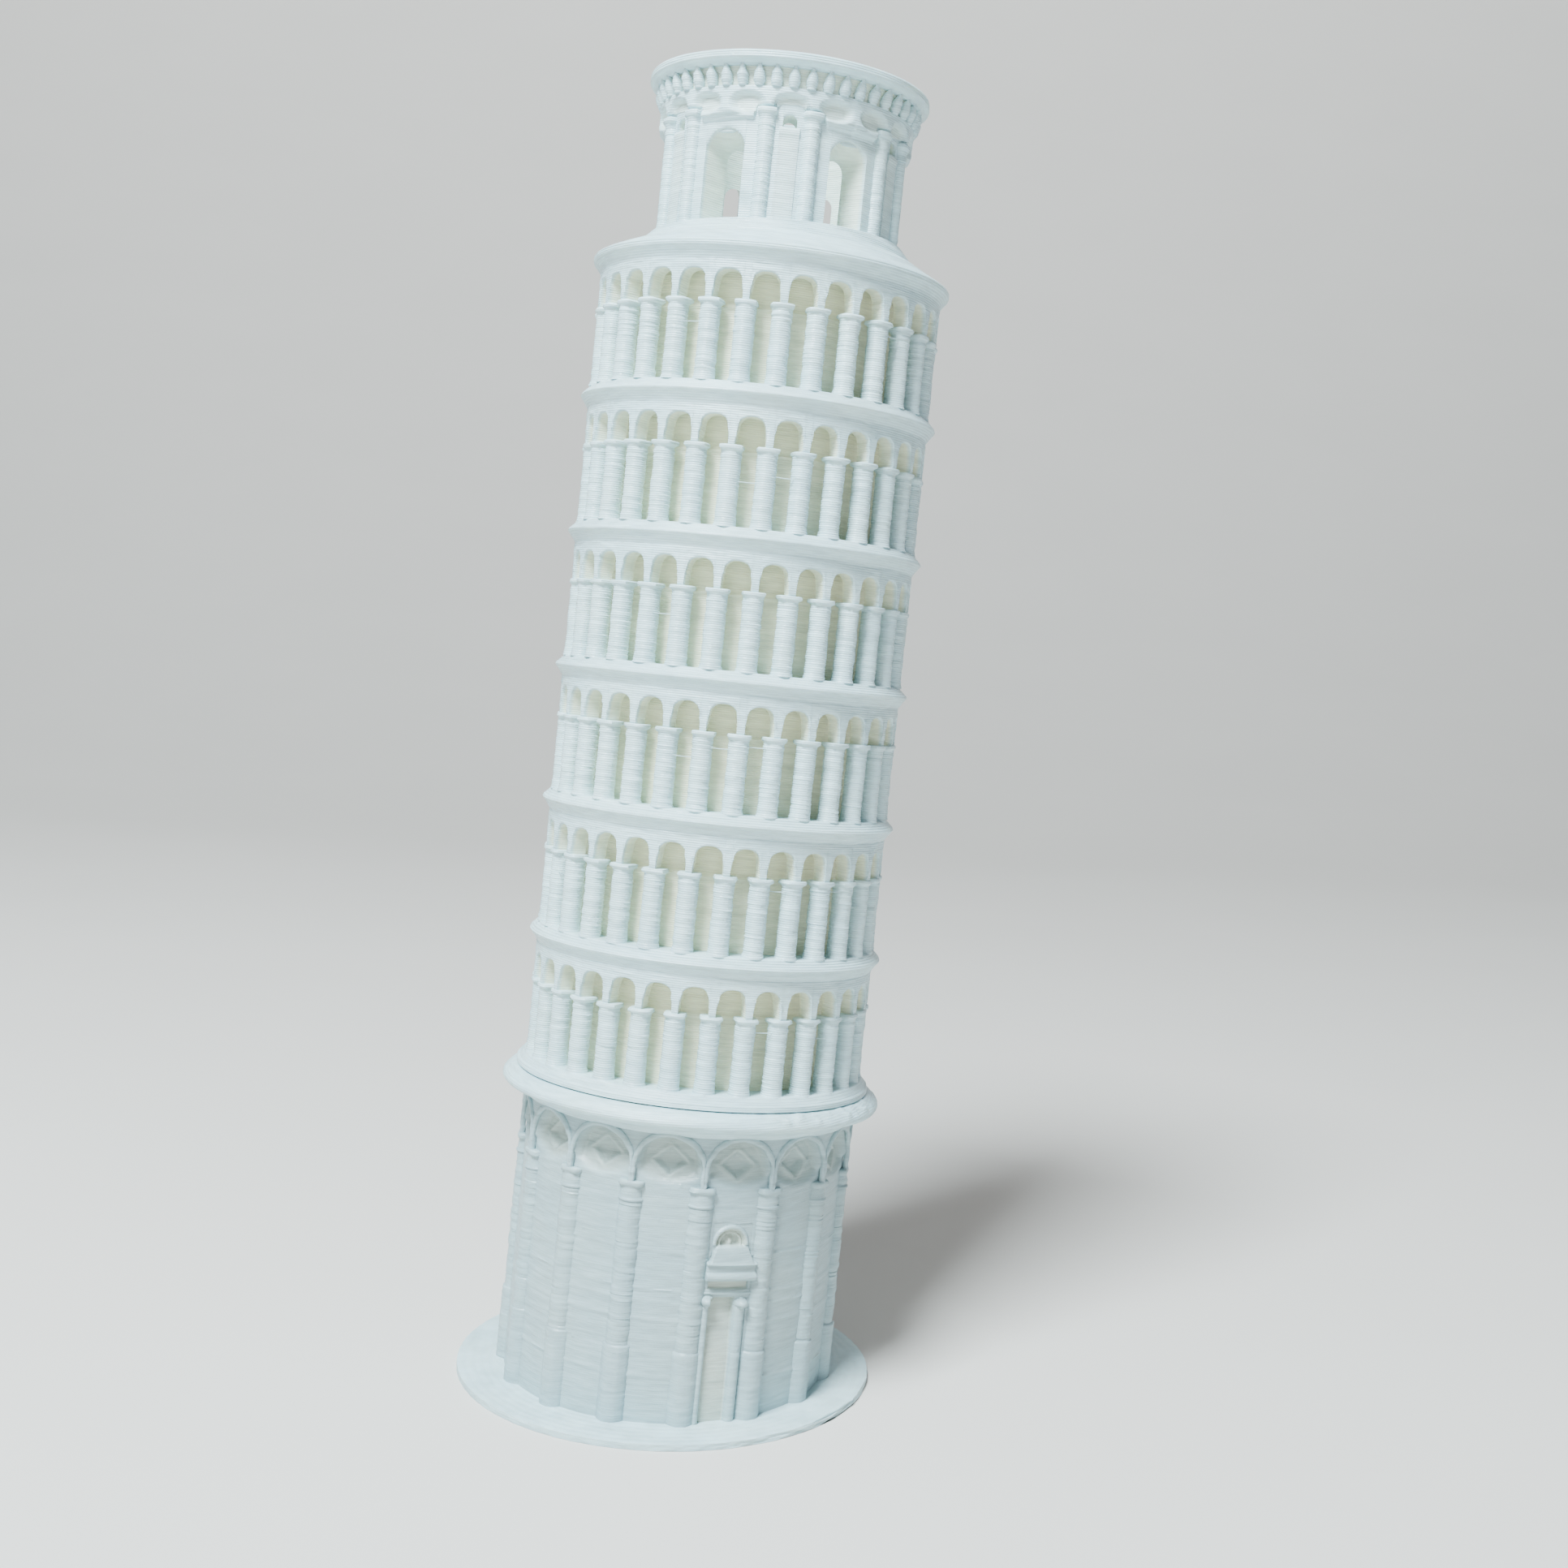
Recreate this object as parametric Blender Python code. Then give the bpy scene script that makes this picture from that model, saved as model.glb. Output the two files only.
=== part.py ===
"""A small printed model of a round leaning bell tower on a thin disc plinth.

All lengths are in metres. The plinth lies flat on Z = 0 with its centre on the origin. The tower stands on
it and leans, so everything above the plinth is modelled upright round the tower's own axis and hangs from
one tilted empty. Heights called "level" are measured along that axis from the underside of the plinth, and
headings are turned about it from the front (-Y) towards +X.
"""

import math

import bmesh
import bpy
from mathutils import Matrix, Vector

MM = 0.001
GAP = 0.3 * MM  # clear space between neighbouring pieces

# Lean of the tower axis
LEAN = math.radians(4.0)
LEAN_HEADING = math.radians(130.6)  # the way it leans: to the right and a little away from the front

# Plinth
PLINTH_RADIUS = 20.0 * MM
PLINTH_THICKNESS = 0.6 * MM

# Galleries
STOREYS = 6
STOREY_PITCH = 12.63 * MM
RIM_RADIUS = 16.9 * MM  # widest line of a gallery's cornice
RIM_PROJECTION = 0.75 * MM  # rim beyond the faces of the columns
RIM_SLOPE_HEIGHT = 0.9 * MM
RIM_SOFFIT_HEIGHT = 1.15 * MM
RIM_SEAT = 0.1 * MM  # a cornice beyond the faces of the columns above and below it
COLUMNS = 30
COLUMN_HEADING = math.radians(5.0)
COLUMN_WIDTH = 1.7 * MM
WALK_WIDTH = 0.85 * MM  # between the columns and the core wall
PIER_WIDTH = 0.95 * MM
ABACUS_WIDTH = 2.05 * MM
ABACUS_PROJECTION = 0.25 * MM
ABACUS_BELOW_RIM = 4.6 * MM
CAPITAL_HEIGHT = 0.8 * MM
SPRING_BELOW_RIM = 3.3 * MM
ARCH_RISE = 1.2 * MM
ARCH_PARTS = 3

# Foot disc of the upper section
FOOT_DISC_PROJECTION = 0.85 * MM  # beyond the faces of the columns
FOOT_DISC_HEIGHT = 1.1 * MM

# Ground storey. Its half-columns stand a little behind the galleries' columns
CORNICE_LEVEL = 27.7 * MM  # widest line of the ground cornice
CORNICE_SHELF = 1.2 * MM  # cornice beyond the foot disc
CORNICE_SEAT = 0.2 * MM  # flat top of the cornice beyond the foot disc
CORNICE_BAND = 1.1 * MM
CORNICE_ROUND = 0.3 * MM
FIRST_RIM_RISE = 14.1 * MM  # from the ground cornice to the lowest gallery's rim
GROUND_SET_BACK = 0.1 * MM
GROUND_RELIEF = 0.85 * MM  # half-columns beyond the wall
SOCLE_PROJECTION = 0.35 * MM
SOCLE_LEVEL = 6.5 * MM
GROUND_BAYS = 15
GROUND_HEADING = math.radians(8.0)  # one of the half-columns
GROUND_COLUMN_WIDTH = 2.1 * MM
GROUND_PIER_WIDTH = 0.9 * MM
CAPITAL_BELOW_CORNICE = 6.0 * MM
ARCH_BELOW_CORNICE = 4.3 * MM  # where the ground arches start
GROUND_ARCH_RISE = 2.6 * MM
GROUND_ARCH_PARTS = 6

# Portal, in the middle of one bay
PORTAL_HEADING = GROUND_HEADING + math.pi / GROUND_BAYS
PORTAL_SIDE_GAP = 0.1 * MM  # each end of a ledge to the half-column beside it
PORTAL_TOP_LEVEL = 18.9 * MM
PORTAL_DEPTH = 0.45 * MM
DOOR_WIDTH = 2.0 * MM
DOOR_TOP_LEVEL = 11.3 * MM
LEDGE_PROJECTION = 0.3 * MM
LEDGE_THICKNESS = 0.5 * MM
LEDGE_LEVELS = (11.7 * MM, 14.6 * MM)
HOOD_PARTS = 8

# Roof ledge, from the topmost rim up to the belfry's floor
ROOF_RISE = 3.5 * MM
ROOF_LIP = 0.35 * MM
ROOF_LIP_BELOW = 0.1 * MM
ROOF_BREAK_RISE = 2.2 * MM
ROOF_BREAK_PROJECTION = 1.4 * MM  # beyond the belfry's half-columns

# Belfry. Its heights are counted from its floor
BELFRY_WALL_RADIUS = 10.9 * MM
BELFRY_WALL_THICKNESS = 2.3 * MM
BELFRY_RELIEF = 0.9 * MM  # half-columns beyond the wall
BELFRY_HEIGHT = 11.45 * MM
BELFRY_BAYS = 6
BELFRY_HEADING = math.radians(31.0)  # one of the tall openings
NARROW_BAY = math.radians(21.0)
BELFRY_COLUMN_WIDTH = 1.3 * MM
BELFRY_PIER_WIDTH = 0.9 * MM
BELFRY_ABACUS_WIDTH = 1.8 * MM
BELFRY_ABACUS_PROJECTION = 0.2 * MM
BELFRY_CAPITAL_HEIGHT = 9.6 * MM
BELFRY_SPRING_HEIGHT = 0.4 * MM  # from the capitals to where the arches start
BELFRY_ARCH_RISE = 0.8 * MM
OPENING_WIDTH = 2.4 * MM
OPENING_SILL = 0.8 * MM
OPENING_TOP = 6.75 * MM
WINDOW_WIDTH = 1.1 * MM
WINDOW_SILL = 8.3 * MM
WINDOW_TOP = 9.4 * MM
CUT_MARGIN = 1.0 * MM  # a cutter beyond each face of the wall
WINDOW_PARTS = 6

# Corbels and crown
CORBELS = 48
CORBEL_HEIGHT = 1.8 * MM
CORBEL_PROJECTION = 0.95 * MM  # tips beyond the belfry's half-columns
CORBEL_DEPTH = 0.55 * MM
CORBEL_ROOT = 0.2 * MM  # feet of the corbels beyond the half-columns
CORBEL_FOOT_DEPTH = 0.1 * MM
CORBEL_BASE_SHARE = 0.84  # of a corbel's spacing, at its root
CORBEL_TIP_SHARE = 0.4  # and at its face
CROWN_PROJECTION = 0.45 * MM  # beyond the corbels
CROWN_WALL = 1.6 * MM
CROWN_HEIGHT = 0.8 * MM

# Facets round the turned pieces, and the bay past which an arch's band is bent and not straight across
TURNED_SIDES = 40
PLINTH_SIDES = 80
WIDE_BAY = math.radians(15.0)
MERGE_DISTANCE = 1e-7
SMOOTH_ANGLE = math.radians(35.0)

# Radii and levels that follow from the sizes above
COLUMN_FACE = RIM_RADIUS - RIM_PROJECTION
COLUMN_BACK = COLUMN_FACE - COLUMN_WIDTH
CORE_RADIUS = COLUMN_BACK - WALK_WIDTH
FOOT_DISC_RADIUS = COLUMN_FACE + FOOT_DISC_PROJECTION
CORNICE_RADIUS = FOOT_DISC_RADIUS + CORNICE_SHELF
CORNICE_UNDERSIDE = CORNICE_LEVEL - CORNICE_BAND
CORNICE_TOP = CORNICE_LEVEL + CORNICE_BAND
FOOT_DISC_UNDERSIDE = CORNICE_TOP + GAP
GROUND_FACE_RADIUS = COLUMN_FACE - GROUND_SET_BACK
GROUND_WALL_RADIUS = GROUND_FACE_RADIUS - GROUND_RELIEF
FIRST_RIM_LEVEL = CORNICE_LEVEL + FIRST_RIM_RISE
TOP_RIM_LEVEL = FIRST_RIM_LEVEL + (STOREYS - 1) * STOREY_PITCH
BELFRY_FLOOR = TOP_RIM_LEVEL + ROOF_RISE
BELFRY_TOP = BELFRY_FLOOR + BELFRY_HEIGHT
BELFRY_FACE_RADIUS = BELFRY_WALL_RADIUS + BELFRY_RELIEF
BELFRY_BORE_RADIUS = BELFRY_WALL_RADIUS - BELFRY_WALL_THICKNESS
CORBEL_RADIUS = BELFRY_FACE_RADIUS + CORBEL_PROJECTION
CROWN_RADIUS = CORBEL_RADIUS + CROWN_PROJECTION

# Colour of the white printing plastic
PLASTIC = (0.86, 0.88, 0.90)
ROUGHNESS = 0.45


def clear_scene():
    """Removes whatever the new scene starts with."""
    for item in list(bpy.data.objects):
        bpy.data.objects.remove(item, do_unlink=True)


def plastic(name, shade=1.0):
    """The white printing plastic, a little lighter or darker from piece to piece."""
    material = bpy.data.materials.new(name)
    material.use_nodes = True
    shader = material.node_tree.nodes["Principled BSDF"]
    shader.inputs["Base Color"].default_value = [channel * shade for channel in PLASTIC] + [1.0]
    shader.inputs["Roughness"].default_value = ROUGHNESS
    shader.inputs["Metallic"].default_value = 0.0
    return material


def lean_turn():
    """The level line that the tower is tilted about."""
    return Vector((math.cos(LEAN_HEADING), math.sin(LEAN_HEADING), 0.0))


def tower_axis():
    """An empty on the tower's axis, tilted by the lean."""
    axis = bpy.data.objects.new("tower_axis", None)
    bpy.context.scene.collection.objects.link(axis)
    axis.rotation_mode = "QUATERNION"
    axis.rotation_quaternion = Matrix.Rotation(LEAN, 3, lean_turn()).to_quaternion()
    return axis


def add_piece(name, mesh_data, parent, shade=1.0):
    """Makes an object of a bmesh, smooth on its rounds, and hangs it from its parent."""
    mesh = bpy.data.meshes.new(name)
    bmesh.ops.recalc_face_normals(mesh_data, faces=mesh_data.faces)
    mesh_data.to_mesh(mesh)
    mesh_data.free()
    mesh.shade_smooth()
    mesh.set_sharp_from_angle(angle=SMOOTH_ANGLE)
    mesh.materials.append(plastic(name, shade))
    piece = bpy.data.objects.new(name, mesh)
    bpy.context.scene.collection.objects.link(piece)
    piece.parent = parent
    return piece


def around(radius, heading, level):
    """The point at a radius, a heading from the front and a level on the axis."""
    return Vector((radius * math.sin(heading), -radius * math.cos(heading), level))


def turned(outline, sides):
    """Spins an outline of (radius, level) points about the axis, closed up unless it ends on the axis."""
    work = bmesh.new()
    points = [work.verts.new((radius, 0.0, level)) for radius, level in outline]
    edges = [work.edges.new(pair) for pair in zip(points, points[1:])]
    if outline[0][0] > 0.0:
        edges.append(work.edges.new((points[-1], points[0])))
    bmesh.ops.spin(
        work,
        geom=points + edges,
        cent=(0.0, 0.0, 0.0),
        axis=(0.0, 0.0, 1.0),
        angle=2.0 * math.pi,
        steps=sides,
    )
    bmesh.ops.remove_doubles(work, verts=work.verts, dist=MERGE_DISTANCE)
    return work


def plinth_top_under(x, y):
    """Level, on the leaning axis, of the plane a gap above the plinth at this place across the axis."""
    tilt = Matrix.Rotation(LEAN, 3, lean_turn())
    across = tilt[2][0] * x + tilt[2][1] * y
    return (PLINTH_THICKNESS + GAP - across) / tilt[2][2]


def column_ring(headings, steps, arch, crown):
    """One ring of columns joined by arches.

    steps lists (level, width, inner radius, outer radius) up each column. arch gives the level where the
    arches start, their rise and the number of straight parts in each. A band with a flat top at the level
    crown runs over them.
    """
    work = bmesh.new()
    columns = [column_corners(work, heading, steps) for heading in headings]
    tops = [corners_at(work, heading, steps[-1], crown) for heading in headings]
    for column, top in zip(columns, tops):
        low = column[-1]
        work.faces.new((low[0], low[1], top[1], top[0]))
        work.faces.new((low[2], low[3], top[3], top[2]))
        work.faces.new(top)
        work.faces.new(column[0])
    for index, heading in enumerate(headings):
        after = (index + 1) % len(headings)
        bay = (headings[after] - heading) % (2.0 * math.pi)
        ends = (columns[index][-1], columns[after][-1])
        span_arch(work, (heading, bay), steps[-1], (*arch, crown), ends, (tops[index], tops[after]))
    bmesh.ops.triangulate(work, faces=work.faces)
    return work


def span_arch(work, bay, step, arch, piers, tops):
    """The arch and the band over it from one column to the next: front, back, underside and top.

    bay gives the first column's heading and the turn to the next. step is the columns' topmost step. arch
    gives the level where the arch starts, its rise, its straight parts and the level of the band's top.
    """
    heading, turn = bay
    spring, rise, parts, crown = arch
    width, inner, outer = step[1:]
    start = heading + width / 2 / outer
    opening = turn - width / outer
    front, back, top_front, top_back = [piers[0][1]], [piers[0][2]], [tops[0][1]], [tops[0][2]]
    bent = turn > WIDE_BAY
    for part in range(1, parts):
        share = math.pi * part / parts
        spot = start + opening * (1.0 - math.cos(share)) / 2.0
        level = spring + rise * math.sin(share)
        front.append(work.verts.new(around(outer, spot, level)))
        back.append(work.verts.new(around(inner, spot, level)))
        if bent:
            top_front.append(work.verts.new(around(outer, spot, crown)))
            top_back.append(work.verts.new(around(inner, spot, crown)))
    for row, corner, ends in ((front, 0, piers), (back, 3, piers), (top_front, 0, tops), (top_back, 3, tops)):
        row.append(ends[1][corner])
    strip(work, front, back)
    strip(work, top_front, top_back)
    for low, high in ((front, top_front), (back, top_back)):
        if bent:
            strip(work, low, high)
        else:
            work.faces.new([*low, *reversed(high)])


def strip(work, one, other):
    """Faces between two rows of points of the same length."""
    for index in range(len(one) - 1):
        work.faces.new((one[index], one[index + 1], other[index + 1], other[index]))


def column_corners(work, heading, steps):
    """The four corners of a column at each of its steps, with the faces between them."""
    rows = []
    for level, width, inner, outer in steps:
        half = width / 2 / outer
        spots = ((outer, -half), (outer, half), (inner, half), (inner, -half))
        places = [(radius, heading + turn) for radius, turn in spots]
        rows.append([work.verts.new(around(*place, level_at(level, *place))) for place in places])
    for low, high in zip(rows, rows[1:]):
        for corner in range(4):
            after = (corner + 1) % 4
            work.faces.new((low[corner], low[after], high[after], high[corner]))
    return rows


def level_at(level, radius, heading):
    """A level as it stands, or the plinth's top where the level is given as None."""
    if level is not None:
        return level
    spot = around(radius, heading, 0.0)
    return plinth_top_under(spot.x, spot.y)


def corners_at(work, heading, step, level):
    """The four corners of a column's outline at a level."""
    half = step[1] / 2 / step[3]
    spots = ((step[3], -half), (step[3], half), (step[2], half), (step[2], -half))
    return [work.verts.new(around(radius, heading + turn, level)) for radius, turn in spots]


def build_plinth():
    """The flat disc that the model stands on."""
    outline = [
        (0.0, PLINTH_THICKNESS),
        (PLINTH_RADIUS, PLINTH_THICKNESS),
        (PLINTH_RADIUS, 0.0),
        (0.0, 0.0),
    ]
    add_piece("plinth_disc", turned(outline, PLINTH_SIDES), None, 0.98)


def build_ground_wall(axis):
    """The plain drum of the ground storey, its foot cut to the plinth that it leans over."""
    top = CORNICE_UNDERSIDE - GAP
    outline = [(0.0, top), (GROUND_WALL_RADIUS, top), (GROUND_WALL_RADIUS, 0.0), (0.0, 0.0)]
    work = turned(outline, TURNED_SIDES)
    for vert in work.verts:
        if vert.co.z < top / 2:
            vert.co.z = plinth_top_under(vert.co.x, vert.co.y)
    add_piece("ground_wall", work, axis)


def build_ground_arcade(axis):
    """Half-columns round the ground storey, joined by blind arches under the cornice."""
    inner = GROUND_WALL_RADIUS + GAP
    face = GROUND_FACE_RADIUS
    socle = face + SOCLE_PROJECTION
    stout = GROUND_COLUMN_WIDTH + SOCLE_PROJECTION
    capital = CORNICE_LEVEL - CAPITAL_BELOW_CORNICE
    spring = CORNICE_LEVEL - ARCH_BELOW_CORNICE
    steps = [
        (None, stout, inner, socle),
        (SOCLE_LEVEL, stout, inner, socle),
        (SOCLE_LEVEL + SOCLE_PROJECTION, GROUND_COLUMN_WIDTH, inner, face),
        (capital - CAPITAL_HEIGHT, GROUND_COLUMN_WIDTH, inner, face),
        (capital, stout, inner, socle),
        (spring, GROUND_PIER_WIDTH, inner, face),
    ]
    turn = 2.0 * math.pi / GROUND_BAYS
    headings = [GROUND_HEADING + turn * index for index in range(GROUND_BAYS)]
    arch = (spring, GROUND_ARCH_RISE, GROUND_ARCH_PARTS)
    add_piece("ground_arcade", column_ring(headings, steps, arch, CORNICE_UNDERSIDE - GAP), axis, 0.97)


def portal_half_width():
    """Half the portal's width: from its middle to the socle beside it, less the ledges and a gap."""
    stout = GROUND_COLUMN_WIDTH + SOCLE_PROJECTION
    clear = math.pi / GROUND_BAYS - stout / 2 / (GROUND_FACE_RADIUS + SOCLE_PROJECTION)
    return (GROUND_WALL_RADIUS + GAP) * math.tan(clear) - LEDGE_PROJECTION / 2 - PORTAL_SIDE_GAP


def build_portal(axis):
    """The door surround in one bay: jambs, a hooded head and two ledges across it."""
    back = GROUND_WALL_RADIUS + GAP
    half, door = portal_half_width(), DOOR_WIDTH / 2
    hood = PORTAL_TOP_LEVEL - half
    corner = around(GROUND_WALL_RADIUS, PORTAL_HEADING, 0.0)
    foot = max(
        plinth_top_under(corner.x + side * half, corner.y + out * PORTAL_DEPTH)
        for side in (-1, 1)
        for out in (-2, 2)
    )
    arch = half_circle(half, hood, HOOD_PARTS)
    outline = [(door, foot), (half, foot), *arch, (-half, foot), (-door, foot)]
    outline += [(-door, DOOR_TOP_LEVEL), (door, DOOR_TOP_LEVEL)]
    surround = extruded(outline, -back - PORTAL_DEPTH, -back)
    for level in LEDGE_LEVELS:
        ledge = bmesh.ops.create_cube(surround, size=1.0)["verts"]
        size = (2 * half + LEDGE_PROJECTION, PORTAL_DEPTH + LEDGE_PROJECTION, LEDGE_THICKNESS)
        bmesh.ops.scale(surround, vec=size, verts=ledge)
        middle = (0.0, -back - size[1] / 2, level + LEDGE_THICKNESS / 2)
        bmesh.ops.translate(surround, vec=middle, verts=ledge)
    piece = add_piece("portal_surround", surround, axis, 0.96)
    piece.rotation_euler.z = PORTAL_HEADING
    join = piece.modifiers.new("join_ledges", "BOOLEAN")
    join.operation = "UNION"
    join.use_self = True
    join.object = helper_block(axis, piece)


def helper_block(axis, piece):
    """A small block inside the portal's head, which the union joins the ledges with."""
    work = bmesh.new()
    bmesh.ops.create_cube(work, size=PORTAL_DEPTH / 2)
    level = (LEDGE_LEVELS[1] + PORTAL_TOP_LEVEL) / 2
    place = (0.0, -GROUND_WALL_RADIUS - GAP - PORTAL_DEPTH / 2, level)
    bmesh.ops.translate(work, vec=place, verts=work.verts)
    block = add_piece("portal_key", work, axis)
    block.rotation_euler.z = piece.rotation_euler.z
    block.hide_render = True
    block.display_type = "WIRE"
    return block


def half_circle(radius, middle, parts):
    """Points of an arch's half circle from right to left, about the level of its middle."""
    turns = [math.pi * part / parts for part in range(parts + 1)]
    return [(radius * math.cos(turn), middle + radius * math.sin(turn)) for turn in turns]


def extruded(outline, front, back):
    """A flat outline of (across, level) points given a thickness from y = front to y = back."""
    work = bmesh.new()
    rows = [[work.verts.new((x, depth, level)) for x, level in outline] for depth in (front, back)]
    work.faces.new(rows[0])
    work.faces.new(rows[1])
    for index in range(len(outline)):
        after = (index + 1) % len(outline)
        work.faces.new((rows[0][index], rows[0][after], rows[1][after], rows[1][index]))
    bmesh.ops.triangulate(work, faces=work.faces)
    return work


def build_ground_cornice(axis):
    """The broad rounded cornice that closes the ground section and carries the upper one."""
    edge = CORNICE_RADIUS - CORNICE_ROUND
    outline = [
        (0.0, CORNICE_TOP),
        (FOOT_DISC_RADIUS + CORNICE_SEAT, CORNICE_TOP),
        (edge, CORNICE_LEVEL + CORNICE_BAND * 0.6),
        (CORNICE_RADIUS, CORNICE_LEVEL + CORNICE_BAND * 0.2),
        (edge, CORNICE_LEVEL - CORNICE_BAND * 0.3),
        (GROUND_FACE_RADIUS + CORNICE_ROUND, CORNICE_UNDERSIDE),
        (0.0, CORNICE_UNDERSIDE),
    ]
    add_piece("ground_cornice", turned(outline, TURNED_SIDES), axis, 1.0)


def build_foot_disc(axis):
    """The low disc at the foot of the upper section."""
    low, high = FOOT_DISC_UNDERSIDE, FOOT_DISC_UNDERSIDE + FOOT_DISC_HEIGHT
    outline = [
        (0.0, high),
        (COLUMN_FACE + RIM_SEAT, high),
        (FOOT_DISC_RADIUS, (low + high) / 2),
        (FOOT_DISC_RADIUS, low),
        (0.0, low),
    ]
    add_piece("upper_foot_disc", turned(outline, TURNED_SIDES), axis, 0.97)


def rim_level(storey):
    """Widest line of a gallery's cornice, storeys counted from 1."""
    return FIRST_RIM_LEVEL + (storey - 1) * STOREY_PITCH


def floor_level(storey):
    """Top of what a gallery stands on."""
    if storey == 1:
        return FOOT_DISC_UNDERSIDE + FOOT_DISC_HEIGHT
    return rim_level(storey - 1) + RIM_SLOPE_HEIGHT


def build_gallery(axis, storey):
    """One gallery: the core wall, and the ring of columns and arches round it."""
    rim = rim_level(storey)
    low = floor_level(storey) + GAP
    high = rim - RIM_SOFFIT_HEIGHT - GAP
    core = [(0.0, high), (CORE_RADIUS, high), (CORE_RADIUS, low), (0.0, low)]
    add_piece(f"gallery_{storey}_core", turned(core, TURNED_SIDES), axis, 0.93)
    abacus, spring = rim - ABACUS_BELOW_RIM, rim - SPRING_BELOW_RIM
    steps = [
        (low, COLUMN_WIDTH, COLUMN_BACK, COLUMN_FACE),
        (abacus - CAPITAL_HEIGHT, COLUMN_WIDTH, COLUMN_BACK, COLUMN_FACE),
        (abacus, ABACUS_WIDTH, COLUMN_BACK - ABACUS_PROJECTION, COLUMN_FACE + ABACUS_PROJECTION),
        (spring, PIER_WIDTH, COLUMN_BACK, COLUMN_FACE),
    ]
    turn = 2.0 * math.pi / COLUMNS
    headings = [COLUMN_HEADING + turn * index for index in range(COLUMNS)]
    work = column_ring(headings, steps, (spring, ARCH_RISE, ARCH_PARTS), high)
    add_piece(f"gallery_{storey}_colonnade", work, axis, 1.0)


def build_gallery_cornice(axis, storey):
    """The sharp-edged cornice over a gallery, a full disc that the next gallery stands on."""
    rim = rim_level(storey)
    outline = [
        (0.0, rim + RIM_SLOPE_HEIGHT),
        (COLUMN_FACE + RIM_SEAT, rim + RIM_SLOPE_HEIGHT),
        (RIM_RADIUS, rim),
        (COLUMN_FACE + RIM_SEAT, rim - RIM_SOFFIT_HEIGHT),
        (0.0, rim - RIM_SOFFIT_HEIGHT),
    ]
    add_piece(f"gallery_{storey}_cornice", turned(outline, TURNED_SIDES), axis, 0.98)


def build_roof_ledge(axis):
    """The topmost cornice with the sloping ledge that runs up to the belfry."""
    rim = TOP_RIM_LEVEL
    outline = [
        (0.0, BELFRY_FLOOR),
        (BELFRY_FACE_RADIUS + RIM_SEAT, BELFRY_FLOOR),
        (BELFRY_FACE_RADIUS + ROOF_BREAK_PROJECTION, rim + ROOF_BREAK_RISE),
        (RIM_RADIUS, rim + ROOF_LIP),
        (RIM_RADIUS, rim - ROOF_LIP_BELOW),
        (COLUMN_FACE + RIM_SEAT, rim - RIM_SOFFIT_HEIGHT),
        (0.0, rim - RIM_SOFFIT_HEIGHT),
    ]
    add_piece("roof_ledge", turned(outline, TURNED_SIDES), axis, 0.99)


def build_belfry_drum(axis):
    """The open-topped belfry wall with its tall openings and small high windows."""
    low, high = BELFRY_FLOOR + GAP, BELFRY_TOP - GAP
    wall, bore = BELFRY_WALL_RADIUS, BELFRY_BORE_RADIUS
    outline = [(bore, high), (wall, high), (wall, low), (bore, low)]
    drum = add_piece("belfry_drum", turned(outline, TURNED_SIDES), axis, 0.95)
    bay = 2.0 * math.pi / BELFRY_BAYS
    for index in range(BELFRY_BAYS):
        heading = BELFRY_HEADING + index * bay
        cut_arch(drum, f"opening_{index}", heading, OPENING_WIDTH, (GAP + OPENING_SILL, OPENING_TOP))
        cut_arch(drum, f"window_{index}", heading + bay / 2, WINDOW_WIDTH, (WINDOW_SILL, WINDOW_TOP))


def cut_arch(drum, name, heading, width, heights):
    """Cuts a round-headed opening through the belfry wall, between two heights over its floor."""
    sill, top = (BELFRY_FLOOR + height for height in heights)
    half = width / 2
    outline = [(half, sill), *half_circle(half, top - half, WINDOW_PARTS), (-half, sill)]
    work = extruded(outline, -BELFRY_WALL_RADIUS - CUT_MARGIN, -BELFRY_BORE_RADIUS + CUT_MARGIN)
    cutter = add_piece(name, work, drum.parent)
    cutter.rotation_euler.z = heading
    cutter.hide_render = True
    cutter.display_type = "WIRE"
    cut = drum.modifiers.new(name, "BOOLEAN")
    cut.operation = "DIFFERENCE"
    cut.object = cutter


def build_belfry_columns(axis):
    """The belfry's half-columns in pairs, joined by a ring of shallow arches."""
    inner, face = BELFRY_WALL_RADIUS + GAP, BELFRY_FACE_RADIUS
    capital = BELFRY_FLOOR + BELFRY_CAPITAL_HEIGHT
    spring = capital + BELFRY_SPRING_HEIGHT
    steps = [
        (BELFRY_FLOOR + GAP, BELFRY_COLUMN_WIDTH, inner, face),
        (capital - CAPITAL_HEIGHT, BELFRY_COLUMN_WIDTH, inner, face),
        (capital, BELFRY_ABACUS_WIDTH, inner, face + BELFRY_ABACUS_PROJECTION),
        (spring, BELFRY_PIER_WIDTH, inner, face),
    ]
    bay = 2.0 * math.pi / BELFRY_BAYS
    windows = [BELFRY_HEADING + (index + 0.5) * bay for index in range(BELFRY_BAYS)]
    headings = [window + side * NARROW_BAY / 2 for window in windows for side in (-1, 1)]
    work = column_ring(headings, steps, (spring, BELFRY_ARCH_RISE, GROUND_ARCH_PARTS), BELFRY_TOP - GAP)
    add_piece("belfry_columns", work, axis, 1.0)


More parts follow.
